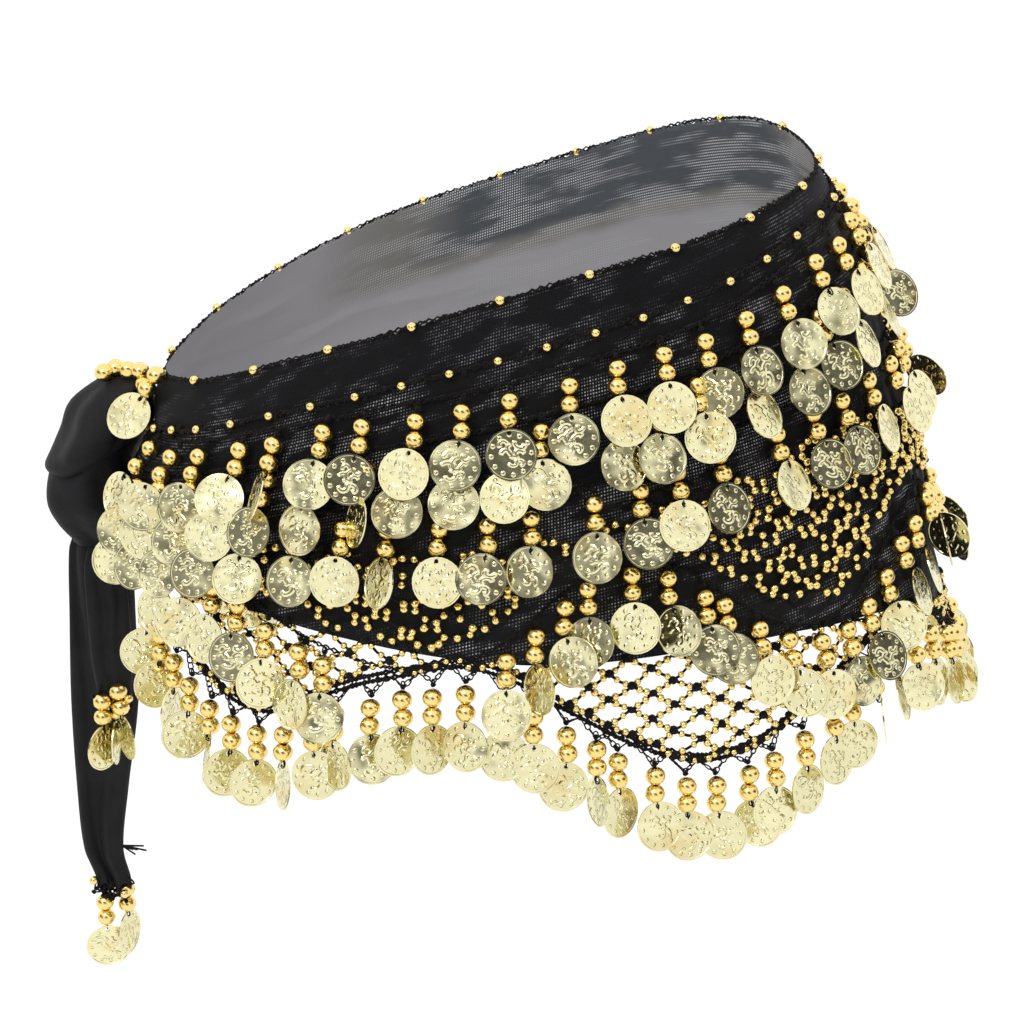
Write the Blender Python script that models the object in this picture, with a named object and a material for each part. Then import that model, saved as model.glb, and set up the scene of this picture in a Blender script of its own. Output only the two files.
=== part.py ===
# Belly dance hip scarf, as worn: a black chiffon wrap tied in a knot at one hip, with a beaded net
# below its hem and five rows of drops, each of two large beads and a coin.
# Metres, +Z up. The front faces -Y, and the knot is at -X. The origin is the centre of the waist opening.

from collections import namedtuple
import math

import bmesh
import bpy
from mathutils import Vector

# Worn outline at each level, from the top down: how far the wrap reaches from its axis to the knot's side,
# to the other hip, to the front and to the back. Below the hips it hangs closer at the knot.
HipSection = namedtuple("HipSection", "level knot_width far_width front_depth back_depth")
HIP_SECTIONS = (
    HipSection(0.060, 0.108, 0.108, 0.076, 0.076),
    HipSection(0.042, 0.115, 0.115, 0.081, 0.081),
    HipSection(0.024, 0.125, 0.125, 0.088, 0.088),
    HipSection(0.001, 0.135, 0.135, 0.095, 0.096),
    HipSection(-0.043, 0.150, 0.150, 0.105, 0.108),
    HipSection(-0.090, 0.164, 0.164, 0.115, 0.120),
    HipSection(-0.122, 0.169, 0.170, 0.119, 0.125),
    HipSection(-0.150, 0.168, 0.177, 0.124, 0.129),
    HipSection(-0.210, 0.165, 0.181, 0.127, 0.131),
    HipSection(-0.300, 0.162, 0.182, 0.127, 0.131),
)

# Top edge. Turn is in degrees from the knot, over the front (90), the other hip (180) and the back (270).
RimPoint = namedtuple("RimPoint", "turn level")
RIM = (
    RimPoint(0, -0.048),
    RimPoint(30, -0.040),
    RimPoint(60, -0.017),
    RimPoint(90, 0.006),
    RimPoint(120, 0.022),
    RimPoint(150, 0.034),
    RimPoint(180, 0.040),
    RimPoint(210, 0.048),
    RimPoint(240, 0.039),
    RimPoint(270, 0.018),
    RimPoint(300, -0.005),
    RimPoint(330, -0.031),
    RimPoint(360, -0.048),
)

# The rows fan out from the knot, alike over the front and the back. Way is in degrees from the knot on
# either side. Top, second and third are how far each row's upper beads lie below the rim.
FanPoint = namedtuple("FanPoint", "way top second third hem_level")
FAN = (
    FanPoint(0, 0.030, 0.043, 0.057, -0.116),
    FanPoint(30, 0.030, 0.043, 0.057, -0.117),
    FanPoint(60, 0.033, 0.048, 0.069, -0.128),
    FanPoint(90, 0.037, 0.053, 0.084, -0.136),
    FanPoint(120, 0.034, 0.050, 0.078, -0.132),
    FanPoint(150, 0.023, 0.041, 0.075, -0.134),
    FanPoint(180, 0.020, 0.036, 0.076, -0.144),
)

# Highs and lows of the zigzag row and of the net's lower edge, at their upper beads.
WavePoint = namedtuple("WavePoint", "way level")
ZIGZAG = (
    WavePoint(0, -0.118),
    WavePoint(16, -0.116),
    WavePoint(32, -0.112),
    WavePoint(44, -0.117),
    WavePoint(56, -0.133),
    WavePoint(70, -0.144),
    WavePoint(84, -0.137),
    WavePoint(103, -0.100),
    WavePoint(131, -0.135),
    WavePoint(162, -0.093),
    WavePoint(180, -0.106),
)
SCALLOPS = (
    WavePoint(0, -0.126),
    WavePoint(16, -0.127),
    WavePoint(26, -0.134),
    WavePoint(36, -0.159),
    WavePoint(50, -0.173),
    WavePoint(68, -0.154),
    WavePoint(84, -0.147),
    WavePoint(113, -0.186),
    WavePoint(147, -0.145),
    WavePoint(180, -0.164),
)

# Beside the knot the two lowest rows are bare, and the zigzag is too where it comes down to the edge.
ZIGZAG_DROPS_START, EDGE_DROPS_START = 26, 23
MEETING_START, MEETING_END = 64, 86

CLOTH_THICKNESS = 0.0012
SEAM_GAP = 0.0003
COLUMNS = 72
SEAM_COLUMN = COLUMNS // 2
CLOTH_ROWS = 9
NET_ROWS = 6
END_TURN = 1.0
REFERENCE_WIDTH, REFERENCE_DEPTH = 0.160, 0.114

# Gathers run out of the knot and die away; soft folds hang at the other hip.
GATHER_DEPTH, GATHER_COUNT, GATHER_REACH = 0.0022, 2.0, 62.0
FOLD_DEPTH, FOLD_TURN, FOLD_REACH = 0.0016, 30.0, 52.0

NET_GAP_SHARE = 0.74
SMALLEST_GAP = 0.004

RIM_TO_KNOT_COIN = 0.009

STRIP_HALF_HEIGHT = 0.0015
STRIP_LIFT = 0.0004
STRIP_OUT = 0.0026
STRIP_ABOVE_BEAD = 0.0055

# One drop, read from its upper bead down. Inner and outer are distances from the cloth.
DropRing = namedtuple("DropRing", "down half_width inner outer")
DROP = (
    DropRing(0.0000, 0.0035, 0.0018, 0.0062),
    DropRing(0.0036, 0.0012, 0.0032, 0.0052),
    DropRing(0.0072, 0.0035, 0.0042, 0.0082),
    DropRing(0.0165, 0.0095, 0.0080, 0.0090),
    DropRing(0.0245, 0.0095, 0.0093, 0.0103),
    DropRing(0.0305, 0.0035, 0.0102, 0.0110),
)

# The knot from the top down: how far it reaches from the body's axis, and its half depth.
KnotSection = namedtuple("KnotSection", "level reach half_depth")
KNOT = (
    KnotSection(-0.052, 0.172, 0.007),
    KnotSection(-0.056, 0.180, 0.012),
    KnotSection(-0.064, 0.190, 0.016),
    KnotSection(-0.074, 0.195, 0.019),
    KnotSection(-0.083, 0.200, 0.020),
    KnotSection(-0.090, 0.200, 0.0175),
    KnotSection(-0.097, 0.204, 0.0195),
    KnotSection(-0.106, 0.203, 0.0195),
    KnotSection(-0.114, 0.199, 0.016),
    KnotSection(-0.120, 0.194, 0.012),
    KnotSection(-0.124, 0.190, 0.009),
)
KNOT_SIDES = 16
KNOT_CREASE = Vector((-0.190, 0.0, -0.086))
KNOT_CREASE_NORMAL = Vector((-0.54, 0.0, 0.84)).normalized()
KNOT_FOLDS, KNOT_FOLD_DEPTH = 5, 0.035

# The free ends: middle, half width and fold depth of the hanging cloth at each level.
TailSection = namedtuple("TailSection", "level across along half_width fold")
LONG_TAIL = (
    TailSection(-0.1243, -0.1810, 0.0025, 0.0085, 0.0018),
    TailSection(-0.1340, -0.1832, 0.0025, 0.0122, 0.0030),
    TailSection(-0.1600, -0.1842, 0.0030, 0.0142, 0.0040),
    TailSection(-0.1970, -0.1845, 0.0030, 0.0146, 0.0045),
    TailSection(-0.2390, -0.1860, 0.0025, 0.0112, 0.0045),
    TailSection(-0.2670, -0.1865, 0.0015, 0.0085, 0.0040),
    TailSection(-0.2840, -0.1820, 0.0010, 0.0072, 0.0026),
)
SHORT_TAIL = (
    TailSection(-0.1243, -0.1800, -0.0055, 0.0060, 0.0008),
    TailSection(-0.1330, -0.1800, -0.0085, 0.0080, 0.0014),
    TailSection(-0.1500, -0.1790, -0.0125, 0.0088, 0.0018),
    TailSection(-0.1750, -0.1785, -0.0155, 0.0085, 0.0018),
    TailSection(-0.1880, -0.1785, -0.0165, 0.0072, 0.0014),
)
TAIL_CLOTH = 0.0016
TAIL_FOLDS = 8
TAIL_BAR_DROP = 0.0019
TAIL_BAR_STEP = 0.0062

CLOTH_BLACK = (0.010, 0.010, 0.012, 1.0)
KNOT_BLACK = (0.018, 0.018, 0.021, 1.0)
THREAD_BLACK = (0.020, 0.014, 0.012, 1.0)
COIN_GOLD = (0.78, 0.62, 0.28, 1.0)


def clear_scene():
    for obj in list(bpy.data.objects):
        bpy.data.objects.remove(obj, do_unlink=True)


def make_material(name, colour, roughness, metallic):
    material = bpy.data.materials.new(name)
    material.use_nodes = True
    shader = material.node_tree.nodes["Principled BSDF"]
    shader.inputs["Base Color"].default_value = colour
    shader.inputs["Roughness"].default_value = roughness
    shader.inputs["Metallic"].default_value = metallic
    return material


def curve_through(knots, at):
    """Value at a place on the smooth curve through (place, value) pairs, level at both ends."""
    places = [knot[0] for knot in knots]
    values = [knot[1] for knot in knots]
    at = min(max(at, places[0]), places[-1])
    after = next(i for i in range(1, len(places)) if at <= places[i])
    before = after - 1

    def slope(i):
        if i == 0 or i == len(places) - 1:
            return 0.0
        return (values[i + 1] - values[i - 1]) / (places[i + 1] - places[i - 1])

    span = places[after] - places[before]
    t = (at - places[before]) / span
    rise = values[after] - values[before]
    bend_in = slope(before) * span - rise
    bend_out = rise - slope(after) * span
    return values[before] + rise * t + t * (1 - t) * (bend_in * (1 - t) + bend_out * t)


def way_of(turn):
    return turn if turn <= 180 else 360 - turn


def rim_level(turn):
    return curve_through([(p.turn, p.level) for p in RIM], turn)


def fan_value(turn, column):
    return curve_through([(p.way, getattr(p, column)) for p in FAN], way_of(turn))


def hem_level(turn):
    return fan_value(turn, "hem_level")


def row_level(turn, column):
    return rim_level(turn) - fan_value(turn, column)


def zigzag_level(turn):
    return curve_through(ZIGZAG, way_of(turn))


def scallop_level(turn):
    return curve_through(SCALLOPS, way_of(turn))


def has_zigzag_drop(first, second):
    way = way_of((first.turn + second.turn) / 2)
    return way > ZIGZAG_DROPS_START and not MEETING_START < way < MEETING_END


def has_edge_drop(first, second):
    return way_of((first.turn + second.turn) / 2) > EDGE_DROPS_START


def net_edge_level(turn):
    return scallop_level(turn) + STRIP_ABOVE_BEAD - STRIP_HALF_HEIGHT - SEAM_GAP


def hip_size(level, column):
    """A size of the worn outline at a level, on the smooth curve through its sections."""
    return curve_through([(s.level, getattr(s, column)) for s in reversed(HIP_SECTIONS)], level)


def fold_at(turn, share_down):
    """How far the cloth stands out in its gathers and folds, at a share of its height below the rim."""
    way = way_of(turn)
    fade = min(1.0, share_down * 4) * min(1.0, max(0.0, 1.15 - share_down) * 4)
    gather = max(0.0, 1 - way / GATHER_REACH) ** 1.5
    gather *= math.sin(2 * math.pi * GATHER_COUNT * share_down + 0.4)
    hang = max(0.0, 1 - (180 - way) / FOLD_REACH) ** 0.7 * share_down
    hang *= math.sin(2 * math.pi * turn / FOLD_TURN)
    return GATHER_DEPTH * gather * fade + FOLD_DEPTH * hang


def spaced_turns():
    """Turns of the columns, the same length of cloth apart round the body."""
    steps = 3600
    turns = [END_TURN + (360 - 2 * END_TURN) * i / steps for i in range(steps + 1)]
    lengths = [0.0]
    for turn in turns[1:]:
        angle = math.radians(turn)
        speed = math.hypot(REFERENCE_WIDTH * math.sin(angle), REFERENCE_DEPTH * math.cos(angle))
        lengths.append(lengths[-1] + speed)
    found = []
    i = 0
    for column in range(COLUMNS + 1):
        while i < steps and lengths[i] < lengths[-1] * column / COLUMNS:
            i += 1
        found.append(turns[i])
    return found


class Column:
    """One vertical line of the scarf: its outer points from the rim down, and the way out of the cloth."""

    def __init__(self, turn):
        angle = math.radians(turn)
        self.turn = turn
        out = Vector((-math.cos(angle) * REFERENCE_DEPTH, -math.sin(angle) * REFERENCE_WIDTH, 0))
        self.out = out.normalized()
        rim, hem, edge = rim_level(turn), hem_level(turn), net_edge_level(turn)
        self.cloth_levels = [rim + (hem - rim) * i / CLOTH_ROWS for i in range(CLOTH_ROWS + 1)]
        top = hem - SEAM_GAP
        self.net_levels = [top + (edge - top) * i / NET_ROWS for i in range(NET_ROWS + 1)]
        self.points = []
        for level in self.cloth_levels + self.net_levels[1:]:
            width = "knot_width" if way_of(turn) <= 90 else "far_width"
            depth = "front_depth" if turn <= 180 else "back_depth"
            x = -hip_size(level, width) * math.cos(angle)
            y = -hip_size(level, depth) * math.sin(angle)
            stand = fold_at(turn, (rim - level) / (rim - hem))
            self.points.append(Vector((x, y, level)) + self.out * stand)

    def at(self, level, out=0.0):
        """The point at a level, on the line between the column's own points, moved out of the cloth."""
        points = self.points
        i = 1
        while i < len(points) - 1 and points[i].z > level:
            i += 1
        upper, lower = points[i - 1], points[i]
        share = min(max((upper.z - level) / (upper.z - lower.z), 0.0), 1.0)
        point = upper.lerp(lower, share) + self.out * out
        point.z = level
        return point


def between(first, second, level, out=0.0):
    return first.at(level, out).lerp(second.at(level, out), 0.5)


def finish(bm, name, material, smooth=False):
    bmesh.ops.recalc_face_normals(bm, faces=bm.faces)
    mesh = bpy.data.meshes.new(name)
    bm.to_mesh(mesh)
    bm.free()
    mesh.materials.append(material)
    if smooth:
        mesh.shade_smooth()
        mesh.set_sharp_from_angle(angle=math.radians(40))
    obj = bpy.data.objects.new(name, mesh)
    bpy.context.scene.collection.objects.link(obj)
    return obj


def stretch_places(columns, first, last):
    """Places along the columns for a stretch of cloth, its end at the seam drawn back by half the gap."""
    places = [float(c) for c in range(first, last + 1)]
    pitch = (columns[SEAM_COLUMN].at(0.0) - columns[SEAM_COLUMN - 1].at(0.0)).length
    if last == SEAM_COLUMN:
        places[-1] -= SEAM_GAP / 2 / pitch
    if first == SEAM_COLUMN:
        places[0] += SEAM_GAP / 2 / pitch
    return places


def grid_point(columns, place, levels, row, out):
    """The point on one row of the cloth's or the net's levels, at a place between columns."""
    low = min(int(place), len(columns) - 2)
    share = place - low
    first, second = columns[low], columns[low + 1]
    start = first.at(getattr(first, levels)[row], out)
    end = second.at(getattr(second, levels)[row], out)
    return start.lerp(end, share)


def add_cloth(columns, name, first, last, material):
    """A stretch of the wrap: an outer and an inner sheet, joined along their edges."""
    bm = bmesh.new()
    places = stretch_places(columns, first, last)
    sheets = []
    for out in (0.0, -CLOTH_THICKNESS):
        sheet = []
        for place in places:
            points = [grid_point(columns, place, "cloth_levels", row, out) for row in range(CLOTH_ROWS + 1)]
            sheet.append([bm.verts.new(point) for point in points])
        sheets.append(sheet)
    count = len(places)
    for sheet in sheets:
        for c in range(count - 1):
            for row in range(CLOTH_ROWS):
                bm.faces.new((sheet[c][row], sheet[c + 1][row], sheet[c + 1][row + 1], sheet[c][row + 1]))
    outer, inner = sheets
    for c in range(count - 1):
        for row in (0, CLOTH_ROWS):
            bm.faces.new((outer[c][row], outer[c + 1][row], inner[c + 1][row], inner[c][row]))
    for row in range(CLOTH_ROWS):
        for c in (0, count - 1):
            bm.faces.new((outer[c][row], outer[c][row + 1], inner[c][row + 1], inner[c][row]))
    finish(bm, name, material, smooth=True)


def add_net(columns, name, first, last, material):
    """A stretch of the net: diamonds two columns wide, each with a gap where it is large enough."""
    bm = bmesh.new()
    places = stretch_places(columns, first, last)
    count = len(places)
    made = {}

    def vert(c, row, layer):
        key = (c, row, layer)
        if key not in made:
            out = -CLOTH_THICKNESS * layer
            made[key] = bm.verts.new(grid_point(columns, places[c], "net_levels", row, out))
        return made[key]

    for c in range(count):
        for row in range(NET_ROWS + 1):
            if (c + first + row) % 2 == 0:
                continue
            ring = [(c - 1, row), (c, row + 1), (c + 1, row), (c, row - 1)]
            inside = [p for p in ring if 0 <= p[0] < count and 0 <= p[1] <= NET_ROWS]
            if len(inside) == 4:
                add_diamond(bm, vert, (c, row), ring)
            elif len(inside) == 3:
                missing = next(i for i in range(4) if ring[i] not in inside)
                outline = ring[missing + 1:] + ring[:missing] + [(c, row)]
                for layer in (0, 1):
                    bm.faces.new([vert(*p, layer) for p in outline])
    for c in range(count - 1):
        for row in (0, NET_ROWS):
            bm.faces.new((vert(c, row, 0), vert(c + 1, row, 0), vert(c + 1, row, 1), vert(c, row, 1)))
    for row in range(NET_ROWS):
        for c in (0, count - 1):
            bm.faces.new((vert(c, row, 0), vert(c, row + 1, 0), vert(c, row + 1, 1), vert(c, row, 1)))
    finish(bm, name, material)


def add_diamond(bm, vert, centre, ring):
    """One mesh of the net, with its gap cut through where the gap is over the smallest size."""
    corners = [[vert(*p, layer) for p in ring] for layer in (0, 1)]
    height = (corners[0][3].co - corners[0][1].co).length * NET_GAP_SHARE
    if height < SMALLEST_GAP:
        for layer in (0, 1):
            middle = vert(*centre, layer)
            for i in range(4):
                bm.faces.new((corners[layer][i], corners[layer][(i + 1) % 4], middle))
        return
    gaps = []
    for layer in (0, 1):
        hub = vert(*centre, layer).co.copy()
        gap = [bm.verts.new(hub.lerp(corner.co, NET_GAP_SHARE)) for corner in corners[layer]]
        gaps.append(gap)
        for i in range(4):
            k = (i + 1) % 4
            bm.faces.new((corners[layer][i], corners[layer][k], gap[k], gap[i]))
    for i in range(4):
        k = (i + 1) % 4
        bm.faces.new((gaps[0][i], gaps[0][k], gaps[1][k], gaps[1][i]))


def add_drop(bm, root, place, along, hangs_free=False):
    """Two beads and a coin, lofted from the four corners of the strip's underside."""
    inner_start, outer_start, outer_end, inner_end = root
    rings = []
    for ring in DROP:
        inner = (ring.inner - ring.outer) / 2 if hangs_free else ring.inner
        outer = inner + ring.outer - ring.inner
        middle = place(ring.down, inner)
        left = bm.verts.new(middle - along * ring.half_width)
        right = bm.verts.new(middle + along * ring.half_width)
        front = bm.verts.new(place(ring.down, outer))
        rings.append((left, front, right))
    left, front, right = rings[0]
    bm.faces.new((inner_start, outer_start, left))
    bm.faces.new((outer_start, front, left))
    bm.faces.new((outer_start, outer_end, front))
    bm.faces.new((outer_end, right, front))
    bm.faces.new((outer_end, inner_end, right))
    bm.faces.new((inner_end, inner_start, left, right))
    for upper, lower in zip(rings, rings[1:]):
        for i in range(3):
            k = (i + 1) % 3
            bm.faces.new((upper[i], upper[k], lower[k], lower[i]))
    bm.faces.new(rings[-1])


def add_strip(bm, stations, drops):
    """A narrow strip of three sides through its stations. Drops gives what hangs from which stretch."""
    verts = [[bm.verts.new(point) for point in station] for station in stations]
    for i in range(len(verts) - 1):
        (top, bottom, outer), (next_top, next_bottom, next_outer) = verts[i], verts[i + 1]
        bm.faces.new((top, next_top, next_outer, outer))
        bm.faces.new((top, next_top, next_bottom, bottom))
        if i in drops:
            add_drop(bm, (bottom, outer, next_outer, next_bottom), *drops[i])
        else:
            bm.faces.new((bottom, next_bottom, next_outer, outer))
    bm.faces.new(verts[0])
    bm.faces.new(verts[-1])


def hang_on_cloth(first, second, level):
    """Where a drop between two columns lies: it follows the cloth down from the level of its upper bead."""
    start = between(first, second, level)
    end = between(first, second, level - DROP[-1].down)
    fall = (start.z - end.z) / (start - end).length
    across = second.at(level) - first.at(level)
    along = Vector((across.x, across.y, 0)).normalized()

    def place(down, out):
        return between(first, second, level - down * fall, out)

    return place, along


def add_coin_row(columns, name, level_at, first, last, drop_columns, material):
    """A row: its strip lies on the cloth or net between two columns, with drops under some stretches."""
    bm = bmesh.new()
    stations = []
    for column in columns[first:last + 1]:
        middle = level_at(column.turn) + STRIP_ABOVE_BEAD
        stations.append((
            column.at(middle + STRIP_HALF_HEIGHT, STRIP_LIFT),
            column.at(middle - STRIP_HALF_HEIGHT, STRIP_LIFT),
            column.at(middle - STRIP_LIFT, STRIP_OUT),
        ))
    drops = {}
    for c in drop_columns:
        left, right = columns[c], columns[c + 1]
        level = (level_at(left.turn) + level_at(right.turn)) / 2
        drops[c - first] = hang_on_cloth(left, right, level)
    add_strip(bm, stations, drops)
    finish(bm, name, material)


def add_knot(columns, material):
    """The knot as one folded bundle, parted along its crease into the upper and the lower wrap."""
    rings = []
    bm = bmesh.new()
    for section in KNOT:
        right = columns[0].at(section.level, SEAM_GAP + CLOTH_THICKNESS / 2).x
        centre = (right - section.reach) / 2
        half_width = (right + section.reach) / 2
        ring = []
        for i in range(KNOT_SIDES):
            angle = 2 * math.pi * i / KNOT_SIDES
            folded = 1 + KNOT_FOLD_DEPTH * math.sin(KNOT_FOLDS * angle) * (1 - math.cos(angle)) / 2
            x = centre + half_width * math.cos(angle) * folded
            y = section.half_depth * math.sin(angle) * folded
            ring.append(bm.verts.new((x, y, section.level)))
        rings.append(ring)
    for upper, lower in zip(rings, rings[1:]):
        for i in range(KNOT_SIDES):
            k = (i + 1) % KNOT_SIDES
            bm.faces.new((upper[i], upper[k], lower[k], lower[i]))
    bm.faces.new(rings[0])
    bm.faces.new(rings[-1])
    for name, side in (("knot_over", 1), ("knot_under", -1)):
        part = bm.copy()
        geometry = part.verts[:] + part.edges[:] + part.faces[:]
        bmesh.ops.bisect_plane(
            part,
            geom=geometry,
            plane_co=KNOT_CREASE + KNOT_CREASE_NORMAL * side * SEAM_GAP / 2,
            plane_no=KNOT_CREASE_NORMAL * side,
            clear_inner=True,
        )
        rim = [edge for edge in part.edges if edge.is_boundary]
        bmesh.ops.contextual_create(part, geom=rim)
        finish(part, name, material, smooth=True)
    bm.free()


def add_tail(name, sections, material):
    """A free end of the cloth, hanging in pleats: a wall folded to and fro across its width."""
    bm = bmesh.new()
    rings = []
    for section in sections:
        line = []
        for i in range(TAIL_FOLDS + 1):
            share = i / TAIL_FOLDS
            x = section.across + (2 * share - 1) * section.half_width
            y = section.along + section.fold * math.sin(2 * math.pi * share * TAIL_FOLDS / 4)
            line.append((x, y))
        half = TAIL_CLOTH / 2
        front = [bm.verts.new((x, y - half, section.level)) for x, y in line]
        back = [bm.verts.new((x, y + half, section.level)) for x, y in line]
        rings.append(front + back[::-1])
    count = len(rings[0])
    for upper, lower in zip(rings, rings[1:]):
        for i in range(count):
            k = (i + 1) % count
            bm.faces.new((upper[i], upper[k], lower[k], lower[i]))
    for ring in (rings[0], rings[-1]):
        for i in range(TAIL_FOLDS):
            bm.faces.new((ring[i], ring[i + 1], ring[count - 2 - i], ring[count - 1 - i]))
    finish(bm, name, material, smooth=True)


def add_tail_coins(name, end, offsets, face_on, material):
    """Drops under a tail's end, from a short bar along X. Face_on says which coins face the front."""
    bm = bmesh.new()
    level = end.level - TAIL_BAR_DROP
    half = TAIL_BAR_STEP / 3
    stations = []
    drops = {}
    for offset, facing in zip(offsets, face_on):
        middle = Vector((end.across + offset, end.along, level))
        drops[len(stations)] = hang_free(middle, facing)
        for side in (-half, half):
            stations.append((
                middle + Vector((side, STRIP_HALF_HEIGHT, STRIP_HALF_HEIGHT)),
                middle + Vector((side, STRIP_HALF_HEIGHT, -STRIP_HALF_HEIGHT)),
                middle + Vector((side, -STRIP_HALF_HEIGHT, -STRIP_HALF_HEIGHT)),
            ))
    add_strip(bm, stations, drops)
    finish(bm, name, material)


def hang_free(middle, facing):
    """Where a drop that hangs clear of the cloth lies, with its coin square to the front or to the side."""
    along = Vector((1, 0, 0)) if facing else Vector((0, 1, 0))
    out = Vector((0, -1, 0)) if facing else Vector((1, 0, 0))
    top = middle - Vector((0, 0, STRIP_ABOVE_BEAD))

    def place(down, distance_out):
        return top - Vector((0, 0, down)) + out * distance_out

    return place, along, True


def main():
    clear_scene()
    cloth = make_material("black_chiffon", CLOTH_BLACK, 0.85, 0.0)
    folded = make_material("folded_chiffon", KNOT_BLACK, 0.7, 0.0)
    thread = make_material("crochet_thread", THREAD_BLACK, 0.9, 0.0)
    gold = make_material("gold_coins", COIN_GOLD, 0.3, 1.0)

    columns = [Column(turn) for turn in spaced_turns()]
    add_cloth(columns, "cloth_front", 0, SEAM_COLUMN, cloth)
    add_cloth(columns, "cloth_back", SEAM_COLUMN, COLUMNS, cloth)
    add_net(columns, "net_front", 0, SEAM_COLUMN, thread)
    add_net(columns, "net_back", SEAM_COLUMN, COLUMNS, thread)

    ends = (2, COLUMNS - 2)
    drops = range(3, COLUMNS - 3, 2)
    zigzag_drops = [c for c in drops if has_zigzag_drop(columns[c], columns[c + 1])]
    edge_drops = [c for c in drops if has_edge_drop(columns[c], columns[c + 1])]
    rows = (
        ("coins_top_row", lambda turn: row_level(turn, "top"), drops),
        ("coins_second_row", lambda turn: row_level(turn, "second"), drops[1:-1]),
        ("coins_third_row", lambda turn: row_level(turn, "third"), drops),
        ("coins_wave_row", zigzag_level, zigzag_drops),
        ("coins_edge_row", scallop_level, edge_drops),
    )
    for name, level_at, drop_columns in rows:
        add_coin_row(columns, name, level_at, *ends, drop_columns, gold)
    add_coin_row(columns, "coins_knot", lambda turn: rim_level(turn) - RIM_TO_KNOT_COIN, 1, 3, (2,), gold)

    add_knot(columns, folded)
    add_tail("tail_long", LONG_TAIL, folded)
    add_tail("tail_short", SHORT_TAIL, folded)
    add_tail_coins("coins_long_tail", LONG_TAIL[-1], (-0.005, 0.0075), (True, False), gold)
    add_tail_coins("coins_short_tail", SHORT_TAIL[-1], (-0.0062, 0.0, 0.0062), (False, False, False), gold)


main()
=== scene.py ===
# Belly dance hip scarf as worn: sheer black chiffon tied at one hip, five rows of gold drops sewn on with
# crochet, small gold beads, and an open beaded net below the hem. Metres, +Z up, front to -Y, knot at -X.

import math
import random

import bmesh
import bpy
import numpy as np
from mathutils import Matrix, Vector


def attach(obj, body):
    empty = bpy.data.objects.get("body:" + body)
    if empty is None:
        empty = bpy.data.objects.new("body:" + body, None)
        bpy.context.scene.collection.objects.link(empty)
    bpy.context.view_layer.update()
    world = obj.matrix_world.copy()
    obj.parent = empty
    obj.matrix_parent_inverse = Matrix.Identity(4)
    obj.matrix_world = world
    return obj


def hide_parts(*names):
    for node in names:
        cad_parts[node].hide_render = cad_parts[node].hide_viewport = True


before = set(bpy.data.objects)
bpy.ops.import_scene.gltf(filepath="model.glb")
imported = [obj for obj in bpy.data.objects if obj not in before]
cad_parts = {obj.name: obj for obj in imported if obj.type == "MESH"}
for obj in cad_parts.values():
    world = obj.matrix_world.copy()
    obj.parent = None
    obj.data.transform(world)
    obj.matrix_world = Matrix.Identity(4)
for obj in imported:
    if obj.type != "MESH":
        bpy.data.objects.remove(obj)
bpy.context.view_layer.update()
chance = random.Random(11)
bpy.context.scene.view_settings.view_transform = "Standard"


# Camera, floor and light

shoot = {
    "target": Vector((-0.0072, 0.0, -0.112)),
    "distance": 1.300,
    "elevation": math.radians(17.5),
    "lens": 108.14,
    "sensor": 36.0,
    "floorLevel": -0.80,
    "floorSize": 14.0,
    "skyLight": 1.22,
    "postDark": 0.94,  # share of the light that the dark posts in front of the object take away
    "postWaves": (6.4, 4.2),  # how close they stand, and how far they lean
    "postEdge": (0.26, 0.54),
    "postFoot": (-0.01, 0.07),
    "postHead": (0.42, 0.62),
    "keyPlace": (-0.7, -1.2, 1.3),
    "keySize": 0.5,
    "keyPower": 12.0,
}


def addCamera():
    lift = shoot["elevation"]
    away = Vector((0, -math.cos(lift), math.sin(lift)))
    bpy.ops.object.camera_add(location=shoot["target"] + away * shoot["distance"])
    camera = bpy.context.object
    camera.rotation_euler = (math.pi / 2 - lift, 0, 0)
    camera.data.lens = shoot["lens"]
    camera.data.sensor_width = shoot["sensor"]
    camera.data.clip_end = 50
    bpy.context.scene.camera = camera


def addFloor():
    bpy.ops.mesh.primitive_plane_add(size=shoot["floorSize"], location=(0, 0, shoot["floorLevel"]))
    floor = bpy.context.object
    floor.name = "floor"
    paper = bpy.data.materials.new("paper")
    paper.use_nodes = True
    shader = paper.node_tree.nodes["Principled BSDF"]
    shader.inputs["Base Color"].default_value = (0.94, 0.94, 0.94, 1)
    shader.inputs["Roughness"].default_value = 0.9
    shader.inputs["Specular IOR Level"].default_value = 0.1
    floor.data.materials.append(paper)


# Shader maths: a Wire is a value among nodes, a Bench is one tree of nodes, and a Finish is a material

class Wire:
    def __init__(self, bench, socket):
        self.bench = bench
        self.socket = socket

    def join(self, kind, *others):
        return self.bench.node("ShaderNodeMath", {"operation": kind}, dict(enumerate((self, *others))))

    def __add__(self, other):
        return self.join("ADD", other)

    def __sub__(self, other):
        return self.join("SUBTRACT", other)

    def __rsub__(self, other):
        return self.bench.node("ShaderNodeMath", {"operation": "SUBTRACT"}, {0: other, 1: self})

    def __mul__(self, other):
        return self.join("MULTIPLY", other)

    def __truediv__(self, other):
        return self.join("DIVIDE", other)

    __radd__ = __add__
    __rmul__ = __mul__

    def wave(self):
        return self.join("SINE")

    def size(self):
        return self.join("ABSOLUTE")

    def root(self):
        return self.join("SQRT")

    def most(self, other):
        return self.join("MAXIMUM", other)

    def ramp(self, low, high):  # 0 at low, 1 at high, smooth between
        settings = {"interpolation_type": "SMOOTHSTEP"}
        inputs = {"Value": self, "From Min": low, "From Max": high}
        return self.bench.node("ShaderNodeMapRange", settings, inputs)


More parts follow.
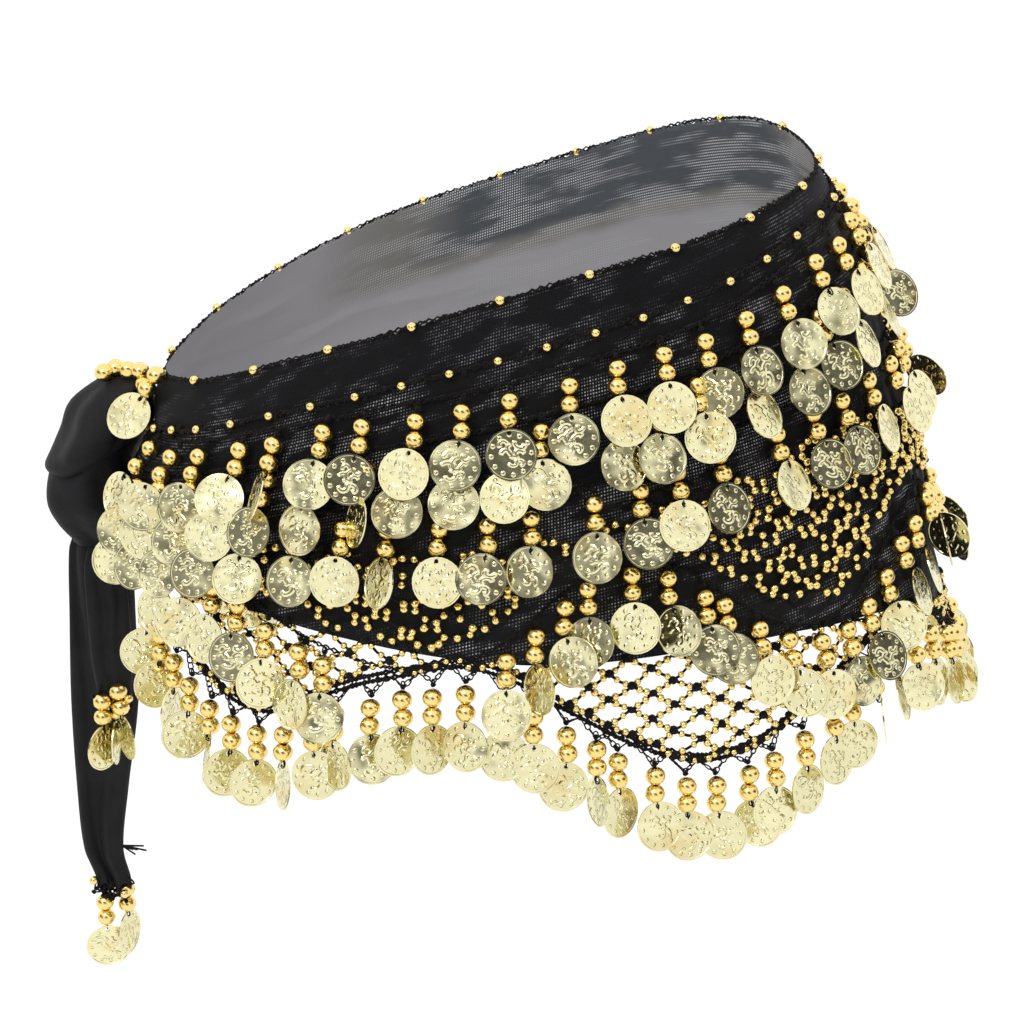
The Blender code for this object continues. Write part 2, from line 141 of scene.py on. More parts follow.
class Bench:
    def __init__(self, tree):
        self.nodes = tree.nodes
        self.links = tree.links

    def node(self, kind, settings, inputs, output=0):
        made = self.nodes.new(kind)
        for key, value in settings.items():
            setattr(made, key, value)
        for key, value in inputs.items():
            if isinstance(value, Wire):
                self.links.new(value.socket, made.inputs[key])
            else:
                made.inputs[key].default_value = value
        return Wire(self, made.outputs[output])


class Finish(Bench):
    def __init__(self, name, **values):
        self.material = bpy.data.materials.new(name)
        self.material.use_nodes = True
        super().__init__(self.material.node_tree)
        self.shader = self.nodes["Principled BSDF"]
        for key, value in values.items():
            self.shader.inputs[key.replace("_", " ")].default_value = value

    def place(self):
        return self.node("ShaderNodeTexCoord", {}, {}, "Object")

    def surface(self):  # the piece's own map, as across and down
        split = {"Vector": self.node("ShaderNodeUVMap", {}, {})}
        return [self.node("ShaderNodeSeparateXYZ", {}, split, axis) for axis in ("X", "Y")]

    def stretched(self, across, down, perAcross, perDown):
        return self.node("ShaderNodeCombineXYZ", {}, {"X": across * perAcross, "Y": down * perDown})

    def noise(self, scale, detail=2.0, at=None):
        inputs = {"Vector": at or self.place(), "Scale": scale, "Detail": detail}
        return self.node("ShaderNodeTexNoise", {}, inputs, "Fac")

    def blend(self, share, first, second):
        inputs = {0: share, 6: first, 7: second}
        return self.node("ShaderNodeMix", {"data_type": "RGBA"}, inputs, 2)

    def feed(self, socket, wire):
        self.links.new(wire.socket, self.shader.inputs[socket])

    def emboss(self, height, distance, strength=1.0):
        inputs = {"Height": height, "Distance": distance, "Strength": strength}
        self.feed("Normal", self.node("ShaderNodeBump", {}, inputs, "Normal"))


def lightScene():
    # an even white studio, with dark leaning posts in front that show in the gold, and a soft key light
    world = bpy.data.worlds.new("studio")
    world.use_nodes = True
    bpy.context.scene.world = world
    studio = Bench(world.node_tree)
    way = studio.node("ShaderNodeTexCoord", {}, {}, "Generated")
    x, y, z = (studio.node("ShaderNodeSeparateXYZ", {}, {"Vector": way}, axis) for axis in "XYZ")
    ahead = (0 - y).ramp(-0.25, 0.05)
    standing = z.ramp(*shoot["postFoot"]) * (1 - z.ramp(*shoot["postHead"]))
    close, lean = shoot["postWaves"]
    posts = ((x * close + z * lean).wave() * 0.5 + 0.5).ramp(*shoot["postEdge"])
    posts = posts * (0.88 + 0.12 * x.ramp(-0.60, -0.40))  # the one at the left is a little weaker
    power = (1 - ahead * standing * posts * shoot["postDark"]) * shoot["skyLight"]
    background = studio.nodes["Background"]
    studio.links.new(power.socket, background.inputs["Strength"])
    background.inputs["Color"].default_value = (1.0, 1.0, 1.0, 1)
    bpy.ops.object.light_add(type="AREA", location=shoot["keyPlace"])
    key = bpy.context.object
    key.data.size = shoot["keySize"]
    key.data.energy = shoot["keyPower"]
    key.rotation_euler = (shoot["target"] - key.location).to_track_quat("-Z", "Y").to_euler()


addCamera()
addFloor()
lightScene()
print("camera, floor and light")


# Modelling helpers

def deselectAll():
    for other in list(bpy.context.selected_objects):
        other.select_set(False)


def pick(piece):
    deselectAll()
    piece.select_set(True)
    bpy.context.view_layer.objects.active = piece


def named(name, finish=None):
    piece = bpy.context.object
    piece.name = piece.data.name = name
    if finish:
        piece.data.materials.append(finish.material)
    return piece


def openFaces(piece, test):  # edit mode, with the faces that pass the test selected
    pick(piece)
    bpy.ops.object.mode_set(mode="EDIT")
    bpy.ops.mesh.select_mode(type="FACE")
    bpy.ops.mesh.select_all(action="DESELECT")
    edit = bmesh.from_edit_mesh(piece.data)
    for face in edit.faces:
        face.select_set(test(face))
    bmesh.update_edit_mesh(piece.data)


def applied(piece, kind, **settings):
    pick(piece)
    modifier = piece.modifiers.new(kind.lower(), kind)
    for key, value in settings.items():
        setattr(modifier, key, value)
    bpy.ops.object.modifier_apply(modifier=modifier.name)


def readAll(items, key, width=1, kind=int):
    values = np.empty(len(items) * width, kind)
    items.foreach_get(key, values)
    return values


def corners(mesh):
    return readAll(mesh.vertices, "co", 3, float).reshape(-1, 3)


def areaOf(piece):
    return round(sum(face.area for face in piece.data.polygons), 4)


def mapped(mesh, perVertex):  # gives every corner of a face its vertex's own place on the map
    if not mesh.uv_layers:
        mesh.uv_layers.new()
    index = readAll(mesh.loops, "vertex_index")
    mesh.uv_layers.active.data.foreach_set("uv", np.asarray(perVertex, float)[index].ravel())


def draped(name, columns, rows, shape, finish):
    # a grid whose points are moved to their places; shape gives the places and the map from across and down
    deselectAll()
    bpy.ops.mesh.primitive_grid_add(x_subdivisions=columns, y_subdivisions=rows, size=1, location=(0, 0, 0))
    piece = named(name, finish)
    start = corners(piece.data)
    places, onMap = shape(start[:, 0] + 0.5, 0.5 - start[:, 1])
    mapped(piece.data, onMap)
    piece.data.vertices.foreach_set("co", places.ravel())
    piece.data.update()
    bpy.ops.object.shade_smooth()
    return piece


def closeSeam(piece):
    pick(piece)
    bpy.ops.object.mode_set(mode="EDIT")
    bpy.ops.mesh.select_all(action="SELECT")
    bpy.ops.mesh.remove_doubles(threshold=0.00002)
    bpy.ops.object.mode_set(mode="OBJECT")


def repeated(name, master, places, finish, smooth=True):
    # one piece of many copies of the master; a place is a turn-and-scale matrix and a point
    base = corners(master.data)
    turns = np.array([place[0] for place in places])
    spots = np.array([place[1] for place in places])
    points = np.einsum("kij,nj->kni", turns, base) + spots[:, None, :]
    count, size = len(places), len(base)
    source = master.data
    loops = readAll(source.loops, "vertex_index")
    starts = readAll(source.polygons, "loop_start")
    totals = readAll(source.polygons, "loop_total")
    step = np.arange(count)[:, None]
    mesh = bpy.data.meshes.new(name)
    mesh.vertices.add(count * size)
    mesh.vertices.foreach_set("co", points.ravel())
    mesh.loops.add(count * len(loops))
    mesh.loops.foreach_set("vertex_index", (loops + step * size).ravel())
    mesh.polygons.add(count * len(starts))
    mesh.polygons.foreach_set("loop_start", (starts + step * len(loops)).ravel())
    mesh.polygons.foreach_set("loop_total", np.tile(totals, count))
    if source.uv_layers:
        flat = readAll(source.uv_layers.active.data, "uv", 2, float)
        mesh.uv_layers.new()
        mesh.uv_layers.active.data.foreach_set("uv", np.tile(flat, count))
    mesh.polygons.foreach_set("use_smooth", np.full(count * len(starts), smooth))
    mesh.materials.append(finish.material)
    mesh.update(calc_edges=True)
    piece = bpy.data.objects.new(name, mesh)
    bpy.context.scene.collection.objects.link(piece)
    return piece


def joined(name, pieces):
    pick(pieces[0])
    for other in pieces:
        other.select_set(True)
    bpy.ops.object.join()
    return named(name)


def threads(name, lines, radius, finish):  # one piece of four-sided threads along lines of points
    curve = bpy.data.curves.new(name, "CURVE")
    curve.dimensions = "3D"
    curve.bevel_depth = radius
    curve.bevel_resolution = 0
    curve.use_fill_caps = True
    for line in lines:
        spline = curve.splines.new("POLY")
        spline.points.add(len(line) - 1)
        spline.points.foreach_set("co", np.column_stack([line, np.ones(len(line))]).ravel())
    piece = bpy.data.objects.new(name, curve)
    bpy.context.scene.collection.objects.link(piece)
    pick(piece)
    bpy.ops.object.convert(target="MESH")
    piece = named(name)
    piece.data.materials.clear()
    piece.data.materials.append(finish.material)
    bpy.ops.object.shade_smooth()
    return piece


def handOver(piece, slot, *nodes):  # gives the frame the piece, in place of these CAD nodes
    if nodes:
        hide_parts(*nodes)
    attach(piece, "root")
    return piece


# The worn form, shared by the cloth and all that lies on it. Turn is in degrees from the knot over the front
# (90), the far hip (180) and the back (270), and way is the same on both sides of the knot.

wornForm = {
    "levels": (0.060, 0.042, 0.024, 0.001, -0.043, -0.090, -0.122, -0.150, -0.210, -0.300),
    "knotWidth": (0.108, 0.115, 0.125, 0.135, 0.150, 0.164, 0.169, 0.168, 0.165, 0.162),
    "farWidth": (0.108, 0.115, 0.125, 0.135, 0.150, 0.164, 0.170, 0.177, 0.181, 0.182),
    "frontDepth": (0.076, 0.081, 0.088, 0.095, 0.105, 0.115, 0.119, 0.124, 0.127, 0.127),
    "backDepth": (0.076, 0.081, 0.088, 0.096, 0.108, 0.120, 0.125, 0.129, 0.131, 0.131),
    "rimTurns": tuple(range(0, 361, 30)),
    "rim": (-0.048, -0.040, -0.017, 0.006, 0.022, 0.034, 0.040, 0.048, 0.039, 0.018, -0.005, -0.031, -0.048),
    "ways": tuple(range(0, 181, 30)),
    "hem": (-0.116, -0.117, -0.128, -0.136, -0.132, -0.134, -0.144),
    "outerWidth": 0.160,
    "outerDepth": 0.114,
    "endTurn": 1.0,
    "gatherDepth": 0.0022,
    "gatherCount": 2.0,
    "gatherReach": 62.0,
    "foldDepth": 0.0016,
    "foldTurn": 30.0,
    "foldReach": 52.0,
    "creaseWander": 0.0022,
    "creaseFade": 0.3,
    "creaseMirror": (363, 1.03),  # the back repeats a crease at 363 less 1.03 times its turn
}
meanRadius = (wornForm["outerWidth"] + wornForm["outerDepth"]) / 2

# Creases in the cloth: from one turn and level to another, with their half width and depth. A depth
# above zero makes a soft ridge.
creases = (
    (4, -0.060, 52, -0.034, 0.0034, -0.0016),
    (4, -0.066, 60, -0.050, 0.0028, 0.0012),
    (4, -0.074, 68, -0.068, 0.0032, -0.0018),
    (4, -0.082, 58, -0.086, 0.0030, 0.0014),
    (4, -0.090, 72, -0.102, 0.0034, -0.0018),
    (4, -0.100, 48, -0.112, 0.0028, 0.0012),
    (46, -0.060, 92, -0.030, 0.0026, -0.0009),
    (55, -0.078, 108, -0.046, 0.0030, -0.0012),
    (62, -0.088, 101, -0.068, 0.0024, 0.0010),
    (70, -0.112, 118, -0.104, 0.0034, -0.0014),
    (76, -0.122, 112, -0.120, 0.0026, 0.0012),
    (86, -0.006, 126, 0.004, 0.0030, -0.0008),
    (104, -0.088, 140, -0.072, 0.0026, -0.0010),
    (108, -0.116, 158, -0.104, 0.0036, -0.0018),
    (112, -0.125, 152, -0.116, 0.0026, 0.0014),
    (118, -0.134, 160, -0.130, 0.0030, -0.0014),
    (143, -0.010, 146, -0.140, 0.0030, -0.0012),
    (152, -0.030, 153, -0.142, 0.0034, -0.0020),
    (159, -0.005, 161, -0.146, 0.0030, 0.0016),
    (166, -0.020, 168, -0.146, 0.0032, -0.0020),
    (175, 0.010, 176, -0.120, 0.0036, 0.0014),
)


def curveThrough(places, values, at):  # smooth curve through the points, level at both ends
    places, values, at = np.array(places, float), np.array(values, float), np.asarray(at, float)
    if places[0] > places[-1]:
        places, values = places[::-1], values[::-1]
    slopes = np.zeros(len(places))
    slopes[1:-1] = (values[2:] - values[:-2]) / (places[2:] - places[:-2])
    at = np.clip(at, places[0], places[-1])
    after = np.clip(np.searchsorted(places, at), 1, len(places) - 1)
    before = after - 1
    span = places[after] - places[before]
    t = (at - places[before]) / span
    rise = values[after] - values[before]
    bendIn = slopes[before] * span - rise
    bendOut = rise - slopes[after] * span
    return values[before] + rise * t + t * (1 - t) * (bendIn * (1 - t) + bendOut * t)


def wayOf(turn):
    return np.where(turn <= 180, turn, 360 - turn)


def rimLevel(turn):
    return curveThrough(wornForm["rimTurns"], wornForm["rim"], turn)


def hemLevel(turn):
    return curveThrough(wornForm["ways"], wornForm["hem"], wayOf(turn))


def outward(turn):  # the way out of the cloth, level
    angle = np.radians(turn)
    x = -np.cos(angle) * wornForm["outerDepth"]
    y = -np.sin(angle) * wornForm["outerWidth"]
    return np.stack([x, y], -1) / np.hypot(x, y)[..., None]


def creaseDepth(turn, level):
    total = np.zeros(np.broadcast(turn, level).shape)
    last, stretch = wornForm["creaseMirror"]
    for mirrored in (False, True):
        for startTurn, startLevel, endTurn, endLevel, width, depth in creases:
            if mirrored:
                startTurn, endTurn = last - startTurn * stretch, last - endTurn * stretch
            across = np.radians(turn - startTurn) * meanRadius
            down = level - startLevel
            runX = math.radians(endTurn - startTurn) * meanRadius
            runY = endLevel - startLevel
            length = math.hypot(runX, runY)
            along = (across * runX + down * runY) / length
            beside = (across * runY - down * runX) / length
            beside = beside + wornForm["creaseWander"] * np.sin(along * 75 + startTurn)
            fromEnd = np.minimum(along + 0.004, length - along)
            inRun = np.clip(fromEnd / (wornForm["creaseFade"] * length), 0, 1)
            total += depth * np.exp(-(beside / width) ** 2) * inRun * inRun * (3 - 2 * inRun)
    return total


def foldDepth(turn, share):
    form = wornForm
    way = wayOf(turn)
    fade = np.minimum(1, share * 4) * np.minimum(1, np.maximum(0, 1.15 - share) * 4)
    gather = np.maximum(0, 1 - way / form["gatherReach"]) ** 1.5
    gather = gather * np.sin(2 * np.pi * form["gatherCount"] * share + 0.4)
    hang = np.maximum(0, 1 - (180 - way) / form["foldReach"]) ** 0.7 * share
    hang = hang * np.sin(2 * np.pi * turn / form["foldTurn"])
    return form["gatherDepth"] * gather * fade + form["foldDepth"] * hang


def wornPoint(turn, level, out=0.0):
    turn, level = np.asarray(turn, float), np.asarray(level, float)
    form = wornForm
    knotWidth, farWidth, frontDepth, backDepth = (
        curveThrough(form["levels"], form[size], level)
        for size in ("knotWidth", "farWidth", "frontDepth", "backDepth")
    )
    angle = np.radians(turn)
    width = np.where(wayOf(turn) <= 90, knotWidth, farWidth)
    depth = np.where(turn <= 180, frontDepth, backDepth)
    rim = rimLevel(turn)
    share = np.maximum(0, (rim - level) / (rim - hemLevel(turn)))
    inCloth = np.clip(share * 8, 0, 1)
    stand = out + foldDepth(turn, share) + creaseDepth(turn, level) * inCloth
    way = outward(turn)
    x = -width * np.cos(angle) + way[..., 0] * stand
    y = -depth * np.sin(angle) + way[..., 1] * stand
    return np.stack([x, y, np.broadcast_to(level, x.shape)], -1)


def spacedTurns(levelAt, pitch, first, last, through=None):
    # turns a pitch apart along a line on the cloth, one of them at the turn that the line runs through
    turns = np.linspace(first, last, 4000)
    line = wornPoint(turns, levelAt(turns))
    lengths = np.concatenate([[0], np.cumsum(np.linalg.norm(np.diff(line, axis=0), axis=1))])
    start = 0.0 if through is None else np.interp(through, turns, lengths) % pitch
    count = int((lengths[-1] - start) / pitch) + 1
    return np.interp(start + pitch * np.arange(count), lengths, turns)


def turnsAt(level, pitch, ends):  # the same along a line at one level
    return spacedTurns(lambda turns: np.full(len(turns), level), pitch, *ends)


# Wrap: one sheet of sheer chiffon round the hips

wrap = {
    "columns": 560,
    "rows": 62,
    "thickness": 0.0005,
    "weavePitch": 0.00125,
    "weaveDepth": 0.00006,
    "mapLevel": -0.09,  # the level at which the map's measure across is true
    "mapStep": 0.0005,
    "ruffle": ((0.0006, 950, 0), (0.0005, 411, 1)),  # of the rim: size, waves and shift
    "streaks": (46.0, 150.0),
    "areas": (15.0, 28.0),
    "black": (0.0035, 0.0035, 0.0042, 1),
    # painted light: the colour of grey-white specks that stand for light through the weave's holes and sheen
    # on its threads
    "paintedLightSpeck": (0.66, 0.66, 0.71, 1),
    "plum": (0.026, 0.021, 0.025, 1),
    # painted light: the inside is grey where light comes through the sheer black cloth
    "innerPaintedLightGrey": (0.330, 0.325, 0.345, 1),
    # painted shade: a darker strip under the rim at the back, with a brownish band painted along its edge
    "innerPaintedShade": (0.080, 0.088, 0.098, 1),
    "innerBrown": (0.20, 0.19, 0.165, 1),
    # painted light: specks of light through the weave on the inside
    "innerPaintedLightSpeck": (0.75, 0.75, 0.78, 1),
    "alpha": 0.93,
    "innerAlpha": 0.92,
}


def weave(finish, pitch):  # the two threads' waves, 0 to 1, and the place on the map
    across, down = finish.surface()
    warp, weft = ((way * (2 * math.pi / pitch)).wave() * 0.5 + 0.5 for way in (across, down))
    return warp, weft, across, down


def makeChiffon():
    finish = Finish("chiffon", Roughness=0.85, Sheen_Weight=0.02, Specular_IOR_Level=0.12)
    warp, weft, across, down = weave(finish, wrap["weavePitch"])
    openings = (warp * weft).ramp(0.34, 0.74)
    slanted = down + across * 0.10
    streaks = finish.noise(1.0, 3.0, finish.stretched(across, slanted, *wrap["streaks"])).ramp(0.47, 0.61)
    areas = finish.noise(1.0, 2.0, finish.stretched(across, slanted, *wrap["areas"])).ramp(0.38, 0.58)
    glints = 0.25 + 0.75 * finish.noise(640.0, 1.0).ramp(0.42, 0.62)
    hipSide = across.ramp(0.34, 0.45) * (1 - across.ramp(0.56, 0.66)) * (1 - down.ramp(0.06, 0.15))
    # fewer painted specks of light along the rim and at the far hip
    paintedSpeckFade = (0.35 + 0.65 * down.ramp(0.014, 0.030)) * (1 - hipSide * 0.8)
    # painted light in the base colour: specks where the weave is open, for light seen through its holes and
    # sheen on its threads
    paintedLightSpecks = openings * streaks * glints * (0.12 + 0.88 * areas) * paintedSpeckFade
    tone = finish.blend(hipSide * finish.noise(24.0).ramp(0.3, 0.7), wrap["black"], wrap["plum"])
    finish.feed("Base Color", finish.blend(paintedLightSpecks, tone, wrap["paintedLightSpeck"]))
    finish.feed("Alpha", wrap["alpha"] + 0.05 * finish.noise(30.0) - paintedLightSpecks * 0.08)
    finish.emboss(warp + weft, wrap["weaveDepth"], 0.4)
    return finish


def makeChiffonInside():
    finish = Finish("chiffonInside", Roughness=0.9, Specular_IOR_Level=0.1)
    warp, weft, across, down = weave(finish, wrap["weavePitch"])
    cloudy = finish.noise(26.0, 3.0)
    # painted shade: darker under the rim at the back, with a brownish band along its edge, over the grey of
    # painted light
    below = (down + cloudy * 0.012).ramp(0.034, 0.048)
    near = (across + cloudy * 0.05).ramp(0.45, 0.54) * (1 - across.ramp(0.70, 0.79))
    dark = (1 - below) * near
    tone = finish.blend(dark, wrap["innerPaintedLightGrey"], wrap["innerPaintedShade"])
    tone = finish.blend(dark * (1 - dark) * 2.4, tone, wrap["innerBrown"])
    # painted light: specks of light through the weave, in patches at the back, mostly near the rim
    patches = finish.noise(1.0, 3.0, finish.stretched(across, down, 26.0, 130.0)).ramp(0.44, 0.60) * near
    paintedLightSpecks = (warp * weft).ramp(0.30, 0.70) * patches * (1 - below * 0.8)
    finish.feed("Base Color", finish.blend(paintedLightSpecks, tone, wrap["innerPaintedLightSpeck"]))
    finish.feed("Alpha", wrap["innerAlpha"] + 0.06 * dark)
    finish.emboss(warp + weft, wrap["weaveDepth"], 0.4)
    return finish


def addWrap():
    first, last = wornForm["endTurn"], 360 - wornForm["endTurn"]
    even = turnsAt(wrap["mapLevel"], wrap["mapStep"], (first, last))
    girth = wrap["mapStep"] * (len(even) - 1)

    def shape(across, down):
        turn = np.interp(across, np.linspace(0, 1, len(even)), even)
        turn = np.where(across >= 1, last, turn)
        rim, hem = rimLevel(turn), hemLevel(turn)
        level = rim + (hem - rim) * down
        ruffle = sum(size * np.sin(across * waves + shift) for size, waves, shift in wrap["ruffle"])
        level = level + ruffle * (1 - np.minimum(1, down * 30))
        return wornPoint(turn, level), np.column_stack([across * girth, rim - level])

    piece = draped("wrap", wrap["columns"], wrap["rows"], shape, makeChiffon())
    print("wrap", round(girth, 3), "m round,", areaOf(piece), "square metres")
    piece.data.materials.append(makeChiffonInside().material)
    applied(piece, "SOLIDIFY", thickness=wrap["thickness"], offset=-1, material_offset=1)
    return piece


wrapPiece = addWrap()


# Thread: brownish black crochet cotton, in braided lines, links and knots

thread = {
    "colour": (0.0045, 0.0038, 0.0035, 1),
    "worn": (0.018, 0.014, 0.012, 1),
    "radius": 0.00042,
    "wave": 0.0036,
    "swing": 0.00055,
    "depth": 0.0004,
    "drift": ((0.00035, 210, 2), (0.0003, 87, 1)),  # the hand's unevenness: size, waves a metre and shift
    "step": 0.0009,
}


def makeThreadFinish():
    finish = Finish("crochetCotton", Roughness=0.9, Sheen_Weight=0.05, Specular_IOR_Level=0.15)
    fluff = finish.noise(1400.0, 3.0)
    finish.feed("Base Color", finish.blend(fluff.ramp(0.45, 0.75), thread["colour"], thread["worn"]))
    finish.emboss(fluff, 0.0004, 0.8)
    return finish


cotton = makeThreadFinish()


def makeStitch():  # one crochet stitch: a small lump with a waist
    deselectAll()
    bpy.ops.mesh.primitive_uv_sphere_add(segments=6, ring_count=4, radius=0.0011, location=(0, 0, 0))
    stitch = named("stitchMaster", cotton)
    openFaces(stitch, lambda face: abs(face.normal.z) < 0.75 and face.calc_center_median().x > 0)
    bpy.ops.transform.resize(value=(1.25, 1.0, 0.85), center_override=(0, 0, 0))
    bpy.ops.object.mode_set(mode="OBJECT")
    return stitch


def makeLink():  # one chain stitch: a stretched ring
    deselectAll()
    bpy.ops.mesh.primitive_torus_add(
        major_segments=8, minor_segments=3, major_radius=0.00095, minor_radius=0.00036,
        rotation=(math.pi / 2, 0, 0),
    )
    link = named("linkMaster", cotton)
    bpy.ops.object.transform_apply(location=True, rotation=True, scale=True)
    openFaces(link, lambda face: face.calc_center_median().z < 0)
    bpy.ops.transform.translate(value=(0, 0, -0.0009))
    bpy.ops.object.mode_set(mode="OBJECT")
    return link


stitchMaster, linkMaster = makeStitch(), makeLink()


def braid(levelAt, first, last, out, offset=0.0):
    # two strands that cross each other along a line on the cloth
    turns = spacedTurns(levelAt, thread["step"], first, last)
    along = np.arange(len(turns)) * thread["step"]
    lines = []
    for strand in (0, 1):
        phase = 2 * np.pi * along / thread["wave"] + np.pi * strand
        drift = sum(size * np.sin(along * waves + shift * strand) for size, waves, shift in thread["drift"])
        level = levelAt(turns) + offset + thread["swing"] * np.sin(phase) + drift
        lines.append(wornPoint(turns, level, out + thread["depth"] * np.cos(phase)))
    return lines


def spun(angle, axis=2):  # a matrix that turns about one axis
    c, s = math.cos(angle), math.sin(angle)
    around = {
        0: ((1, 0, 0), (0, c, -s), (0, s, c)),
        1: ((c, 0, s), (0, 1, 0), (-s, 0, c)),
        2: ((c, -s, 0), (s, c, 0), (0, 0, 1)),
    }
    return np.array(around[axis])


def anyTurn():
    return spun(chance.uniform(0, 6.28)) @ spun(chance.uniform(0, 6.28), 0)


def facing(down, along):  # local x along, local z up against down, local y in towards the cloth
    up = -np.asarray(down) / np.linalg.norm(down)
    inward = np.cross(up, along)
    inward = inward / np.linalg.norm(inward)
    return np.column_stack([np.cross(inward, up), inward, up])


# Drops: two large beads and a stamped coin on a thread

drop = {
    "beadRadius": 0.0041,
    "beadSquash": 0.91,
    "smallRadius": 0.0021,
    "coinRadius": 0.0100,
    "coinThickness": 0.0006,
    "coinRim": 0.0006,
    "holeRadius": 0.0009,
    "holeFromCentre": 0.0083,
    # below the upper bead's middle, with how far a drop stands off the cloth there
    "beadStep": 0.0070,
    "coinTop": 0.0094,
    "length": 0.0305,
    "outs": ((-0.006, 0.0022), (0.0, 0.0044), (0.0070, 0.0050), (0.0094, 0.0087), (0.0305, 0.0121)),
    # above the upper bead's middle
    "stitchAbove": 0.0046,
    "lineAbove": 0.0055,
    "linkAbove": 0.0056,
    # below the lower bead's middle, and below the coin's top
    "linkBelowBead": 0.0034,
    "looseLink": 0.0042,
    "looseCoin": 0.0139,
    "linkOnCoin": 0.0014,
    "turnedOut": 0.0010,  # how far a coin that is turned edge on stands out
    "everyOther": 0.0009,  # and every other coin, so that they overlap
    "toFront": 0.50,  # how far the coins beside the knot, where the cloth is bunched, are turned to the front
    "bunchedTo": 64,
    "bunchedOver": 20,
    "gold": (0.87, 0.67, 0.25, 1),
    "paleGold": (0.79, 0.74, 0.45, 1),
    "deepGold": (0.70, 0.53, 0.20, 1),
}

# The stamped ornament, in coin radii: a ring of dots, and a scroll of half rings by centre, radius and facing
stamping = {
    "dots": 12,
    "dotRing": 0.77,
    "dotEdge": (0.035, 0.10),
    "strokes": (
        (0.02, 0.12, 0.22, 200),
        (-0.28, -0.06, 0.19, 60),
        (0.27, -0.04, 0.17, 130),
        (-0.10, -0.36, 0.18, 300),
        (0.24, -0.40, 0.13, 20),
        (-0.30, 0.34, 0.16, 100),
        (0.30, 0.36, 0.15, 250),
    ),
    "strokeEdge": (0.020, 0.100),
    "bend": 0.7,  # the scroll is bent a little otherwise on each coin
    "depth": 0.75,
    "dents": 2.5,
}


def makeGoldFinish():
    finish = Finish("beadGold", Metallic=1.0, Base_Color=drop["gold"])
    finish.feed("Roughness", 0.13 + 0.12 * finish.noise(400.0))
    return finish


def makeCoinFinish():
    finish = Finish("coinGold", Metallic=1.0)
    u, v = finish.surface()
    radius = (u * u + v * v).root()
    sector = 2 * math.pi / stamping["dots"]
    turns = u.join("ARCTAN2", v) / sector
    angle = (turns - turns.join("ROUND")) * sector
    dotX, dotY = radius * angle.wave(), radius * angle.join("COSINE") - stamping["dotRing"]
    relief = 1 - (dotX * dotX + dotY * dotY).root().ramp(*stamping["dotEdge"])
    bentU = u + (finish.noise(70.0, 1.0) - 0.5) * stamping["bend"]
    bentV = v + (finish.noise(58.0, 1.0) - 0.5) * stamping["bend"]
    for x, y, size, side in stamping["strokes"]:
        dx, dy = bentU - x, bentV - y
        fromRing = ((dx * dx + dy * dy).root() - size).size()
        side = math.radians(side)
        half = (dx * math.cos(side) + dy * math.sin(side)).ramp(-0.08, 0.02)
        relief = relief.most((1 - fromRing.ramp(*stamping["strokeEdge"])) * half)
    dents = finish.noise(80.0, 1.0)
    tarnish = finish.noise(60.0, 3.0).ramp(0.50, 0.75)
    finish.feed("Base Color", finish.blend(tarnish * 0.6, drop["paleGold"], drop["deepGold"]))
    finish.feed("Roughness", 0.13 + 0.12 * finish.noise(300.0))
    finish.emboss(relief * stamping["depth"] + dents * stamping["dents"], 0.0005)
    return finish


beadGold, coinGold = makeGoldFinish(), makeCoinFinish()


def makeBead(name, radius, segments, rings, bored):
    deselectAll()
    bpy.ops.mesh.primitive_uv_sphere_add(
        segments=segments, ring_count=rings, radius=radius, location=(0, 0, 0)
    )
    bead = named(name, beadGold)
    openFaces(bead, lambda face: True)
    bpy.ops.transform.resize(value=(1, 1, drop["beadSquash"]), center_override=(0, 0, 0))
    bpy.ops.object.mode_set(mode="OBJECT")
    if bored:
        openFaces(bead, lambda face: abs(face.calc_center_median().z) > radius * 0.78)
        bpy.ops.mesh.inset(thickness=radius * 0.12, depth=-radius * 0.05, use_individual=False)
        bpy.ops.object.mode_set(mode="OBJECT")
    return bead


def makeCoin():
    deselectAll()
    bpy.ops.mesh.primitive_cylinder_add(
        vertices=28, radius=drop["coinRadius"], depth=drop["coinThickness"], rotation=(math.pi / 2, 0, 0)
    )
    coin = named("coinMaster", coinGold)
    bpy.ops.object.transform_apply(location=True, rotation=True, scale=True)
    openFaces(coin, lambda face: abs(face.normal.y) > 0.9)
    bpy.ops.mesh.inset(thickness=drop["coinRim"], depth=0, use_individual=True)
    bpy.ops.mesh.inset(thickness=0.0002, depth=-0.00018, use_individual=True)
    bpy.ops.object.mode_set(mode="OBJECT")
    deselectAll()
    bpy.ops.mesh.primitive_cylinder_add(
        vertices=8, radius=drop["holeRadius"], depth=0.01,
        location=(0, 0, drop["holeFromCentre"]), rotation=(math.pi / 2, 0, 0),
    )
    punch = named("punch")
    applied(coin, "BOOLEAN", object=punch, operation="DIFFERENCE", solver="EXACT")
    bpy.data.objects.remove(punch)
    spots = corners(coin.data) / drop["coinRadius"]
    mapped(coin.data, spots[:, (0, 2)])
    return coin


beadMaster = makeBead("beadMaster", drop["beadRadius"], 12, 8, True)
smallMaster = makeBead("smallMaster", drop["smallRadius"], 8, 5, False)
coinMaster = makeCoin()
masters = [beadMaster, smallMaster, coinMaster, stitchMaster, linkMaster]
print("bead, coin and stitch,", [len(master.data.polygons) for master in masters], "faces")


def hangPoint(turn, level, down):
    # the point of a drop some way below its upper bead, which lies on the cloth at that level
    start, end = wornPoint(turn, level), wornPoint(turn, level - 0.03)
    fall = 0.03 / np.linalg.norm(end - start)
    places, outs = zip(*drop["outs"])
    return wornPoint(turn, level - down * fall, np.interp(down, places, outs))


